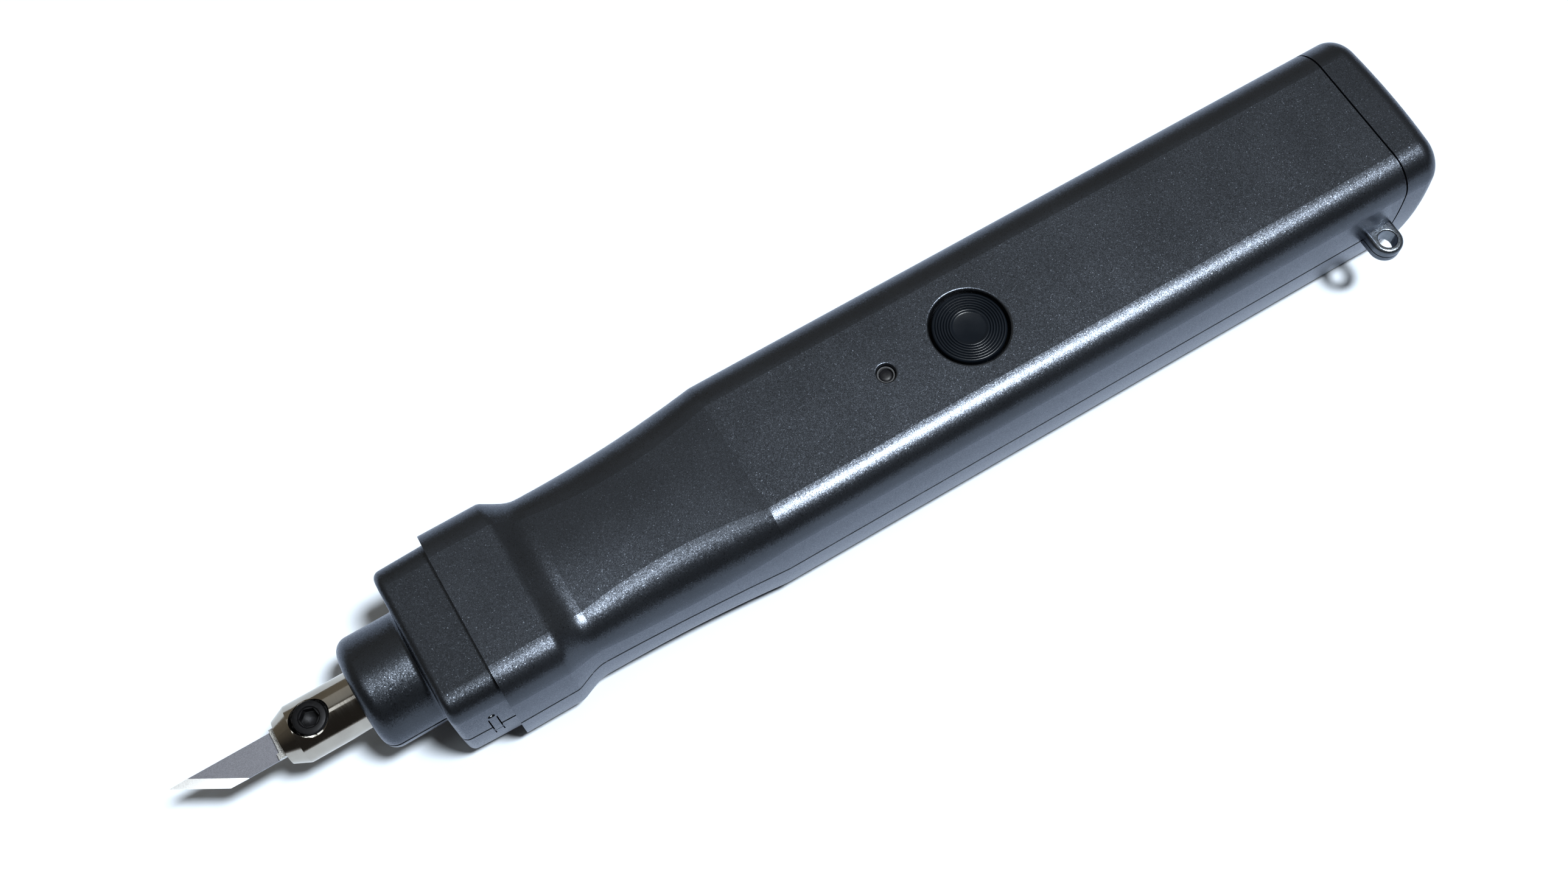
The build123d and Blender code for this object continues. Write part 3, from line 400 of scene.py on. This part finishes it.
blade_tip, across_edge, bevel_width = (-0.1045, 0.00215, 0.0125), (0.5, 0.8660254, 0), 0.00139
blade_steel, tree, shader = new_finish("blade_steel")
from_tip = vector_node(tree, "SUBTRACT", place_node(tree), blade_tip).outputs[0]
from_edge = vector_node(tree, "DOT_PRODUCT", from_tip, across_edge).outputs["Value"]
bevel = math_node(tree, "LESS_THAN", from_edge, bevel_width)
speckle = span_node(tree, noise_node(tree, scale=9000, detail=2), (0.3, 0.7))
flat_grey = blend_node(tree, speckle, (0.174, 0.177, 0.202), (0.258, 0.261, 0.296))
tree.links.new(blend_node(tree, bevel, flat_grey, (0.90, 0.90, 0.90)), shader.inputs["Base Color"])
flat_rough = span_node(tree, noise_node(tree, scale=6000, detail=2), (0.3, 0.7), (0.38, 0.44))
scratches = noise_node(tree, scale=9000, detail=1, stretch=(1, 0.2, 1))
grind = span_node(tree, scratches, (0.3, 0.7), (0.08, 0.16))
rough = tree.nodes.new("ShaderNodeMix")
tree.links.new(bevel, rough.inputs[0])
tree.links.new(flat_rough, rough.inputs[2])
tree.links.new(grind, rough.inputs[3])
tree.links.new(rough.outputs[0], shader.inputs["Roughness"])
tree.links.new(span_node(tree, bevel, (0, 1), (0.75, 1.0)), shader.inputs["Metallic"])
dress(blade_steel, "blade")


# Blade holder: a round bar turned from steel and nickel plated, with faint tool marks round it,
# a coned front end, the slot for the blade and the screw hole over it. Round the hole it is painted
# paler in patches: partly plating rubbed through, partly a painted glint on the rim.

def bump_node(tree, height, strength, distance):
    """Small relief from a height."""
    node = tree.nodes.new("ShaderNodeBump")
    node.inputs["Strength"].default_value = strength
    node.inputs["Distance"].default_value = distance
    tree.links.new(height, node.inputs["Height"])
    return node.outputs[0]


hole_x, hole_radius, rim_radius = -0.0829, 0.00252, 0.00276
nickel, tree, shader = new_finish("nickel")
tool_marks = noise_node(tree, scale=5000, detail=3, stretch=(1, 0.04, 0.04))
dull = noise_node(tree, scale=350, detail=4)
clouded = span_node(tree, dull, (0.35, 0.7))
plating = blend_node(tree, clouded, (0.36, 0.335, 0.30), (0.42, 0.395, 0.355))
# Paler, rougher patches round the screw hole: partly rubbed plating, partly a painted glint on its
# rim.
hole_edge = span_node(tree, from_axis(tree, hole_x, 0), (hole_radius, rim_radius), (1.0, 0.0))
rubbed = span_node(tree, noise_node(tree, scale=1500, detail=2), (0.42, 0.58))
rim_wear_and_glint = math_node(tree, "MULTIPLY", hole_edge, rubbed)
tree.links.new(blend_node(tree, rim_wear_and_glint, plating, (0.86, 0.85, 0.82)), shader.inputs["Base Color"])
turned_rough = span_node(tree, tool_marks, (0.3, 0.7), (0.07, 0.12))
dull_rough = span_node(tree, dull, (0.4, 0.8), (0.0, 0.04))
rim_wear_and_glint_rough = span_node(tree, rim_wear_and_glint, (0, 1), (0.0, 0.25))
rough = math_node(tree, "ADD", math_node(tree, "ADD", turned_rough, dull_rough), rim_wear_and_glint_rough)
tree.links.new(rough, shader.inputs["Roughness"])
relief = math_node(tree, "SUBTRACT", math_node(tree, "MULTIPLY", tool_marks, 0.008), hole_edge)
tree.links.new(bump_node(tree, relief, strength=1.0, distance=0.00015), shader.inputs["Normal"])
shader.inputs["Metallic"].default_value = 1
dress(nickel, "blade_holder")


# Clamp strip: a sheared strip of soft bright steel that the set screw presses onto the blade.
# Its torn end shows in front of the holder.

clamp_steel, tree, shader = new_finish("clamp_steel")
torn = noise_node(tree, scale=8000, detail=3)
sheared = span_node(tree, torn, (0.35, 0.65))
torn_grey = blend_node(tree, sheared, (0.22, 0.22, 0.22), (0.72, 0.72, 0.71))
tree.links.new(torn_grey, shader.inputs["Base Color"])
tree.links.new(span_node(tree, torn, (0.3, 0.7), (0.45, 0.28)), shader.inputs["Roughness"])
tree.links.new(bump_node(tree, torn, strength=0.6, distance=0.00004), shader.inputs["Normal"])
shader.inputs["Metallic"].default_value = 0.9
dress(clamp_steel, "clamp_plate")


# Set screw: a hexagon socket screw that clamps the blade, with a coned bottom to its socket where
# the drill has left a small seat. Steel, blackened, a shade paler on the seat.

set_low, set_high, set_radius, set_root = 0.013585, 0.01675, 0.00245, 0.00222
set_point_radius, set_point_length = 0.0017, 0.0006
set_crest, set_pitch, set_turns = 0.0009, 0.0007, 3
key_radius, key_turn, key_above = 0.001443, math.radians(12), 0.001
socket_depth, seat_depth = 0.0017, 0.0021
socket_floor, seat_floor = set_high - socket_depth, set_high - seat_depth
seat_radius, cone_radius, cone_above = 0.00055, 0.0012, 0.0001
seat_edge, cone_edge = 0.00052, 0.00058
set_outline = [(set_point_radius, set_low), (set_radius, set_low + set_point_length)]
for turn in range(set_turns):
    crest = set_low + set_crest + turn * set_pitch
    set_outline += [(set_root, crest - 0.0002), (set_radius, crest)]
    set_outline += [(set_radius, crest + 0.00005), (set_root, crest + 0.00025)]
set_outline += [(set_radius, set_high - 0.0003), (set_radius - 0.0001, set_high - 0.0001)]
set_outline += [(set_radius - 0.0004, set_high), (0.00162, set_high), (0.00144, set_high - 0.0002)]
set_screw = turned_piece("socket_screw", hole_x, 0, set_outline, sides=48)
bpy.ops.object.select_all(action="DESELECT")
bpy.ops.mesh.primitive_circle_add(
    vertices=6, radius=key_radius, fill_type="NGON", location=(hole_x, 0, set_high + key_above),
    rotation=(0, 0, key_turn)
)
key_shape = bpy.context.object
settle(key_shape)
bpy.ops.object.mode_set(mode="EDIT")
bpy.ops.mesh.select_all(action="SELECT")
bpy.ops.mesh.extrude_region_move(
    TRANSFORM_OT_translate={"value": (0, 0, socket_floor - set_high - key_above)}
)
finish_edit()
cut_away(set_screw, key_shape)
seat_outline = [(seat_radius, seat_floor), (cone_radius, socket_floor)]
seat_outline += [(cone_radius, socket_floor + cone_above)]
cut_away(set_screw, turned_piece("seat_shape", hole_x, 0, seat_outline, sides=32))

socket_black, tree, shader = new_finish("socket_black")
above_seat = vector_node(tree, "SUBTRACT", place_node(tree), (hole_x, 0, seat_floor)).outputs[0]
from_seat = vector_node(tree, "LENGTH", above_seat).outputs["Value"]
seat = span_node(tree, from_seat, (seat_edge, cone_edge), (1.0, 0.0))
oxide = noise_node(tree, scale=3500, detail=3)
black = blend_node(tree, oxide, (0.005, 0.005, 0.006), (0.011, 0.011, 0.012))
tree.links.new(blend_node(tree, seat, black, (0.014, 0.014, 0.016)), shader.inputs["Base Color"])
tree.links.new(span_node(tree, oxide, (0.3, 0.7), (0.42, 0.55)), shader.inputs["Roughness"])
shader.inputs["Specular IOR Level"].default_value = 0.25
shader.inputs["Metallic"].default_value = 0.6
set_screw.data.materials.append(socket_black)
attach(set_screw, "set_screw")
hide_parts("set_screw")


# Button: a round cap of black plastic, with a plain disc in the middle and rounded ring ridges for
# the thumb. Its flange is caught under the housing and its foot stands on the switch.

button_x, button_top, button_radius = 0.0259, 0.0249, 0.0056
foot_low, foot_radius = 0.0213, 0.0020
flange_low, flange_high, flange_radius = 0.0219, 0.0229, 0.0070
ridges, ridge_first, ridge_pitch, ridge_height = 6, 0.00275, 0.00041, 0.0002
groove_outline = [(0.02, 0.05), (0.10, 0.45), (0.18, 0.85), (0.26, 1.0)]
groove_outline += [(0.34, 0.85), (0.42, 0.45), (0.5, 0.12)]
button_outline = [(foot_radius, foot_low), (foot_radius, flange_low), (flange_radius, flange_low)]
button_outline += [(flange_radius, flange_high), (button_radius, flange_high)]
button_outline += [(button_radius, button_top - 0.0004), (0.00556, button_top - 0.0002)]
button_outline += [(0.00544, button_top - 0.00006), (0.0053, button_top)]
for ridge in reversed(range(ridges)):
    outer = ridge_first + (ridge + 1) * ridge_pitch
    for share, drop in groove_outline:
        button_outline.append((outer - share * ridge_pitch, button_top - drop * ridge_height))
    for share in (0.62, 0.75, 0.88):
        button_outline.append((outer - share * ridge_pitch, button_top))
button_outline += [(ridge_first - 0.00008, button_top - 0.00004)]
button_outline += [(ridge_first - 0.0002, button_top - 0.00016)]
button_outline += [(ridge_first - 0.0004, button_top - 0.0002), (0.0004, button_top - 0.0002)]
button = turned_piece("thumb_button", button_x, 0, button_outline, sides=128)

button_black, tree, shader = new_finish("button_black")
rubbed = noise_node(tree, scale=260, detail=3)
worn = span_node(tree, rubbed, (0.3, 0.7))
thumbed = blend_node(tree, worn, (0.0034, 0.0050, 0.0078), (0.0052, 0.0072, 0.0105))
tree.links.new(thumbed, shader.inputs["Base Color"])
tree.links.new(span_node(tree, rubbed, (0.3, 0.7), (0.25, 0.31)), shader.inputs["Roughness"])
shader.inputs["Specular IOR Level"].default_value = 0.17
grain = bump_node(tree, noise_node(tree, scale=7000, detail=2), strength=0.25, distance=0.00002)
tree.links.new(grain, shader.inputs["Normal"])
button.data.materials.append(button_black)
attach(button, "button")
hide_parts("button_cap")
dress(button_black, "switch_plunger")


# Indicator: a smoky round lens in a grey cup, set back in its hole in the upper half.
# Moulded acrylic on two legs that stand on the board.

lamp_x, lamp_top = 0.0115, 0.0243
rim_low, rim_high, rim_reach = 0.0191, 0.0201, 0.0019
cup_radius, cup_bore, lens_low, lens_radius = 0.00137, 0.00106, lamp_top - 0.0006, 0.00098
cup_outline = [(rim_reach, rim_low), (rim_reach, rim_high), (cup_radius, rim_high)]
cup_outline += [(cup_radius, lamp_top - 0.0001), (0.00132, lamp_top), (0.00112, lamp_top)]
cup_outline += [(cup_bore, lamp_top - 0.0001), (cup_bore, lens_low)]
cup = turned_piece("indicator_cup", lamp_x, 0, cup_outline, sides=48)
lens_outline = [(lens_radius, lens_low), (lens_radius, lamp_top - 0.0003)]
lens_outline += [(0.00092, lamp_top - 0.00022), (0.00070, lamp_top - 0.00014)]
lens_outline += [(0.00040, lamp_top - 0.0001), (0.00012, lamp_top - 0.00009)]
lens = turned_piece("indicator_lens", lamp_x, 0, lens_outline, sides=48)
cup_grey = mottled_finish(
    "cup_grey", fineness=4000, detail=2, dark=(0.036, 0.037, 0.040), light=(0.058, 0.059, 0.063),
    smooth=0.3, rough=0.42,
)
smoky = mottled_finish(
    "smoky_lens", fineness=2600, detail=2, dark=(0.005, 0.005, 0.006), light=(0.010, 0.010, 0.012),
    smooth=0.34, rough=0.44, specular=0.2,
)
cup.data.materials.append(cup_grey)
lens.data.materials.append(smoky)
for piece in (cup, lens):
    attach(piece, "housing")
    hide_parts("indicator_led")


# Charging socket: a flat oval shell drawn from thin steel, with a black tongue that carries a row
# of gilt contacts on each face. It is soldered on its own small board in the tail.

socket_axis, tongue_half_width, tongue_half_height = 0.0125, 0.0034, 0.0004
socket_steel, tree, shader = new_finish("socket_steel")
above_axis = vector_node(tree, "SUBTRACT", place_node(tree), (0, 0, socket_axis)).outputs[0]
from_middle = vector_node(tree, "ABSOLUTE", above_axis).outputs[0]
axes = tree.nodes.new("ShaderNodeSeparateXYZ")
tree.links.new(from_middle, axes.inputs[0])
thin_enough = math_node(tree, "LESS_THAN", axes.outputs["Z"], tongue_half_height)
narrow_enough = math_node(tree, "LESS_THAN", axes.outputs["Y"], tongue_half_width)
on_tongue = math_node(tree, "MULTIPLY", thin_enough, narrow_enough)
drawn = noise_node(tree, scale=1800, detail=3, stretch=(0.1, 1, 1))
tin = blend_node(tree, drawn, (0.50, 0.50, 0.50), (0.66, 0.66, 0.65))
shell_and_tongue = blend_node(tree, on_tongue, tin, (0.012, 0.012, 0.013))
tree.links.new(shell_and_tongue, shader.inputs["Base Color"])
tree.links.new(span_node(tree, on_tongue, (0, 1), (1, 0)), shader.inputs["Metallic"])
tree.links.new(span_node(tree, drawn, (0.3, 0.7), (0.22, 0.38)), shader.inputs["Roughness"])
dress(socket_steel, "charge_socket")

contact_place, contact_size = (0.1009, 0, 0.01287), (0.0032, 0.0003, 0.00006)
contact_end, contact_round, contact_pitch, in_row = 0.1024, 0.00005, 0.00072, 8
bpy.ops.object.select_all(action="DESELECT")
bpy.ops.mesh.primitive_cube_add(size=1, location=contact_place, scale=contact_size)
first_contact = bpy.context.object
first_contact.name = "contact_pattern"
settle(first_contact)
bpy.ops.object.mode_set(mode="EDIT")
mesh = bmesh.from_edit_mesh(first_contact.data)
for edge in mesh.edges:
    at_end = min(v.co.x for v in edge.verts) > contact_end
    on_top = min(v.co.z for v in edge.verts) > contact_place[2]
    edge.select_set(at_end and on_top)
bmesh.update_edit_mesh(first_contact.data)
bpy.ops.mesh.bevel(offset=contact_round, segments=3)
bpy.ops.object.mode_set(mode="OBJECT")
gilt = mottled_finish(
    "gilt", fineness=6000, detail=2, dark=(0.80, 0.56, 0.20), light=(0.92, 0.70, 0.32),
    smooth=0.16, rough=0.3, metallic=1,
)
first_contact.data.materials.append(gilt)
contacts = []
for number in range(2 * in_row):
    below = number // in_row
    shift = (0, (number % in_row - (in_row - 1) / 2) * contact_pitch, 2 * socket_axis * below)
    flip = (1, 1, 1 - 2 * below)
    contacts.append(copy_piece(first_contact, f"socket_contact_{number + 1}", shift, flip))
bpy.data.objects.remove(first_contact, do_unlink=True)
for contact in contacts:
    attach(contact, "housing")


# Guides inside the nose: a soft wiper ring at the mouth and a flanged sintered bush behind it, both
# pressed between the two halves. The rear guide of the drive is sintered too.

rubber = mottled_finish(
    "seal_rubber", fineness=1500, detail=4, dark=(0.010, 0.010, 0.010), light=(0.024, 0.024, 0.024),
    smooth=0.6, rough=0.8,
)
dress(rubber, "nose_seal")

sintered, tree, shader = new_finish("sintered_bronze")
pores = noise_node(tree, scale=7000, detail=2)
closed = span_node(tree, pores, (0.3, 0.6))
bronze = blend_node(tree, closed, (0.26, 0.15, 0.06), (0.58, 0.38, 0.17))
tree.links.new(bronze, shader.inputs["Base Color"])
tree.links.new(span_node(tree, pores, (0.3, 0.7), (0.55, 0.35)), shader.inputs["Roughness"])
tree.links.new(bump_node(tree, pores, strength=0.4, distance=0.00005), shader.inputs["Normal"])
shader.inputs["Metallic"].default_value = 0.95
dress(sintered, "nose_bush", "rear_bush")


# Oscillating drive: a plated magnet between iron discs on a ground shaft, two coils on a white
# spool in a steel tube with end plates, and a coiled wire spring on each side that centres the
# moving half: one end of it stands on the tube's plate, the other on the disc.

def worked_steel(name, dark, light, smooth, rough, fineness, stretch):
    """Bare steel with the marks of how it was worked, drawn out along the stretch."""
    finish, tree, shader = new_finish(name)
    marks = noise_node(tree, scale=fineness, detail=3, stretch=stretch)
    tree.links.new(blend_node(tree, marks, (dark,) * 3, (light,) * 3), shader.inputs["Base Color"])
    tree.links.new(span_node(tree, marks, (0.3, 0.7), (smooth, rough)), shader.inputs["Roughness"])
    tree.links.new(bump_node(tree, marks, strength=0.15, distance=0.00002), shader.inputs["Normal"])
    shader.inputs["Metallic"].default_value = 1
    return finish


ground_steel = worked_steel(
    "ground_steel", dark=0.50, light=0.62, smooth=0.16, rough=0.28,
    fineness=4000, stretch=(1, 0.05, 0.05),
)
dress(ground_steel, "plunger_shaft")
spring_steel = worked_steel(
    "spring_steel", dark=0.42, light=0.58, smooth=0.22, rough=0.34,
    fineness=3000, stretch=(1, 1, 1),
)
dress(spring_steel, "front_spring", "rear_spring", "retaining_rings")
drawn_steel = worked_steel(
    "drawn_steel", dark=0.38, light=0.52, smooth=0.3, rough=0.45,
    fineness=2500, stretch=(0.05, 1, 1),
)
dress(drawn_steel, "stator_tube")
faced_steel = worked_steel(
    "faced_steel", dark=0.40, light=0.55, smooth=0.28, rough=0.42,
    fineness=3500, stretch=(1, 0.3, 0.3),
)
dress(faced_steel, "front_plate", "rear_plate", "pole_pieces")
magnet_plating = worked_steel(
    "magnet_plating", dark=0.58, light=0.68, smooth=0.14, rough=0.24,
    fineness=1500, stretch=(1, 1, 1),
)
dress(magnet_plating, "drive_magnet")

enamelled, tree, shader = new_finish("enamelled_wire")
winds = tree.nodes.new("ShaderNodeTexWave")
winds.bands_direction = "X"
winds.inputs["Scale"].default_value = 1100
winds.inputs["Distortion"].default_value = 0.4
tree.links.new(place_node(tree), winds.inputs["Vector"])
wires = winds.outputs["Fac"]
copper = blend_node(tree, wires, (0.30, 0.10, 0.04), (0.72, 0.33, 0.16))
tree.links.new(copper, shader.inputs["Base Color"])
tree.links.new(bump_node(tree, wires, strength=0.6, distance=0.0001), shader.inputs["Normal"])
tree.links.new(span_node(tree, wires, (0, 1), (0.4, 0.22)), shader.inputs["Roughness"])
shader.inputs["Metallic"].default_value = 0.9
dress(enamelled, "drive_coils")

spring_wire, spring_radius, spring_turns, drive_axis = 0.00035, 0.00395, 4, 0.0125
for spring_name, stands_on_front in (("front_spring", True), ("rear_spring", False)):
    ends = [vertex.co.x for vertex in parts[spring_name].data.vertices]
    front, rear = min(ends) + spring_wire, max(ends) - spring_wire
    bpy.ops.object.select_all(action="DESELECT")
    bpy.ops.mesh.primitive_circle_add(
        vertices=12, radius=spring_wire, rotation=(math.pi / 2, 0, 0)
    )
    spring = bpy.context.object
    spring.name = f"wound_{spring_name}"
    settle(spring)
    bpy.ops.object.mode_set(mode="EDIT")
    bpy.ops.mesh.select_all(action="SELECT")
    bpy.ops.transform.translate(value=(0, 0, spring_radius))
    bpy.ops.object.mode_set(mode="OBJECT")
    spring.location = (front, 0, drive_axis)
    winding = spring.modifiers.new("winding", "SCREW")
    winding.axis = "X"
    winding.iterations = spring_turns
    winding.screw_offset = (rear - front) / spring_turns
    winding.steps = winding.render_steps = 40
    bpy.ops.object.modifier_apply(modifier="winding")
    settle(spring)
    bpy.ops.object.mode_set(mode="EDIT")
    bpy.ops.mesh.select_all(action="SELECT")
    bpy.ops.mesh.fill_holes(sides=0)
    finish_edit()
    spring.data.materials.append(spring_steel)
    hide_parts(spring_name)
    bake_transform(spring)


def moulded(name, dark, light, smooth, rough):
    """Plain moulded plastic: a fine grain, and a slight change of tone and gloss from flow."""
    finish = mottled_finish(
        name, fineness=220, detail=3, dark=dark, light=light, smooth=smooth, rough=rough
    )
    tree = finish.node_tree
    grain = bump_node(tree, noise_node(tree, scale=5000, detail=2), strength=0.2, distance=0.00003)
    tree.links.new(grain, tree.nodes["Principled BSDF"].inputs["Normal"])
    return finish


spool_white = moulded(
    "spool_white", dark=(0.72, 0.70, 0.64), light=(0.84, 0.82, 0.77), smooth=0.35, rough=0.5
)
dress(spool_white, "coil_bobbin")


# Control board: green glass laminate with copper traces under the mask, on posts in the lower half.
# It carries the switch, the chips and the indicator, and the charging board in the tail matches it.

laminate, tree, shader = new_finish("board_laminate")
tracks = tree.nodes.new("ShaderNodeTexBrick")
tracks.inputs["Scale"].default_value = 260
tracks.inputs["Mortar Size"].default_value = 0.018
tracks.inputs["Color1"].default_value = (0, 0, 0, 1)
tracks.inputs["Color2"].default_value = (0.1, 0.1, 0.1, 1)
tracks.inputs["Mortar"].default_value = (1, 1, 1, 1)
tree.links.new(place_node(tree), tracks.inputs["Vector"])
weave = noise_node(tree, scale=2600, detail=2)
mask = blend_node(tree, weave, (0.010, 0.085, 0.035), (0.016, 0.115, 0.050))
traced = blend_node(tree, tracks.outputs["Color"], mask, (0.06, 0.22, 0.09))
tree.links.new(traced, shader.inputs["Base Color"])
tree.links.new(span_node(tree, weave, (0.3, 0.7), (0.3, 0.42)), shader.inputs["Roughness"])
raised = bump_node(tree, tracks.outputs["Color"], strength=0.3, distance=0.00003)
tree.links.new(raised, shader.inputs["Normal"])
dress(laminate, "control_board", "charge_board")
chip_black = moulded(
    "chip_black", dark=(0.012, 0.012, 0.013), light=(0.022, 0.022, 0.023), smooth=0.4, rough=0.55
)
dress(chip_black, "driver_chips", "switch_body")
dress(screw_black, "board_screws")
tinned_leg = worked_steel(
    "tinned_leg", dark=0.62, light=0.74, smooth=0.2, rough=0.32,
    fineness=5000, stretch=(1, 1, 0.1),
)
dress(tinned_leg, "led_leads", "battery_tabs")


# Battery cell and wiring: a round lithium cell in a blue shrink sleeve, with welded contact strips,
# and insulated wires in red and black to the boards and the coils.

cell_sleeve = moulded(
    "cell_sleeve", dark=(0.035, 0.10, 0.30), light=(0.055, 0.14, 0.38), smooth=0.18, rough=0.3
)
dress(cell_sleeve, "battery_cell")
wire_red = moulded(
    "wire_red", dark=(0.34, 0.012, 0.010), light=(0.46, 0.022, 0.018), smooth=0.3, rough=0.42
)
dress(wire_red, "battery_leads")
wire_black = moulded(
    "wire_black", dark=(0.010, 0.010, 0.010), light=(0.020, 0.020, 0.020), smooth=0.3, rough=0.42
)
dress(wire_black, "charge_lead", "drive_leads")


# Table: a plain white sheet of paper under the tool, matt, and so wide that no edge is in sight.
# The tool lies loose on it.

bpy.ops.object.select_all(action="DESELECT")
bpy.ops.mesh.primitive_plane_add(size=4, location=(0, 0, -0.00002))
floor = bpy.context.object
floor.name = "floor"
white, tree, shader = new_finish("white_sheet")
tooth = noise_node(tree, scale=1500, detail=2)
paper = blend_node(tree, tooth, (0.69, 0.735, 0.80), (0.70, 0.745, 0.81))
tree.links.new(paper, shader.inputs["Base Color"])
shader.inputs["Roughness"].default_value = 0.7
shader.inputs["Specular IOR Level"].default_value = 0.1
floor.data.materials.append(white)


# Room: dim and warm overhead, a little lighter behind the tool, and pale low down, as between
# white screens that stand round the table.

world = bpy.data.worlds.new("room")
bpy.context.scene.world = world
world.use_nodes = True
tree = world.node_tree
sight = tree.nodes.new("ShaderNodeSeparateXYZ")
tree.links.new(tree.nodes.new("ShaderNodeTexCoord").outputs["Generated"], sight.inputs[0])
low_down = span_node(tree, sight.outputs["Z"], (0.0, 0.09), (1.0, 0.0))
behind = span_node(tree, sight.outputs["Y"], (-0.35, 0.75))
overhead = blend_node(tree, behind, (0.030, 0.028, 0.026), (0.20, 0.18, 0.145))
walls = blend_node(tree, low_down, overhead, (0.45, 0.46, 0.48))
tree.links.new(walls, tree.nodes["Background"].inputs["Color"])


# Lamps: a bright lamp high over the tail's near side, far off, a softer one over the blade, and a
# dim panel behind it. Each hangs in the air and faces the tool.

def hang_lamp(name, shape, over, heading, distance, width, depth, power):
    """A lamp hung in a heading from a place on the tool, turned to face it."""
    data = bpy.data.lights.new(name, "AREA")
    data.shape = shape
    data.size = width
    data.size_y = depth
    data.energy = power
    data.color = (0.90, 0.96, 1.0)
    fitting = bpy.data.objects.new(name, data)
    bpy.context.scene.collection.objects.link(fitting)
    away = Vector(heading).normalized()
    along = (Vector((1, 0, 0)) - away.x * away).normalized()
    turn = Matrix((along, away.cross(along), away)).transposed().to_4x4()
    fitting.matrix_world = Matrix.Translation(Vector(over) + distance * away) @ turn


hang_lamp(
    "key_lamp", "ELLIPSE", over=(0, 0, 0), heading=(0.25, -0.19, 0.949),
    distance=3.6, width=0.68, depth=0.5, power=205,
)
hang_lamp(
    "blade_lamp", "RECTANGLE", over=(-0.095, 0, 0.0125), heading=(-0.272, -0.012, 0.962),
    distance=1.2, width=0.46, depth=0.24, power=0.8,
)
hang_lamp(
    "back_panel", "RECTANGLE", over=(-0.08, 0, 0.0125), heading=(-0.14, 0.52, 0.843),
    distance=1.2, width=0.26, depth=0.9, power=0.19,
)


# Camera: held over the near side of the nose, and turned to look down at the whole tool as in the
# picture, with a slight roll.

turn, dip, roll = math.radians(29.76), math.radians(68.27), math.radians(-1.20)
stand = (-0.0527, -0.0821, 0.2580)
film_width, focal_pixels, picture_width = 36, 2891, 2576
upright = Vector((0, 0, 1))
right = Vector((math.cos(turn), -math.sin(turn), 0))
ahead = Vector((math.sin(turn), math.cos(turn), 0))
look = math.cos(dip) * ahead - math.sin(dip) * upright
up = math.sin(dip) * ahead + math.cos(dip) * upright
rolled_right = math.cos(roll) * right + math.sin(roll) * up
rolled_up = math.cos(roll) * up - math.sin(roll) * right
camera = bpy.data.cameras.new("camera")
camera.sensor_width = film_width
camera.lens = film_width * focal_pixels / picture_width
camera.clip_start = 0.01
eye = bpy.data.objects.new("camera", camera)
bpy.context.scene.collection.objects.link(eye)
turned_eye = Matrix((rolled_right, rolled_up, -look)).transposed().to_4x4()
eye.matrix_world = Matrix.Translation(stand) @ turned_eye
bpy.context.scene.camera = eye
bpy.context.scene.view_settings.view_transform = "Standard"
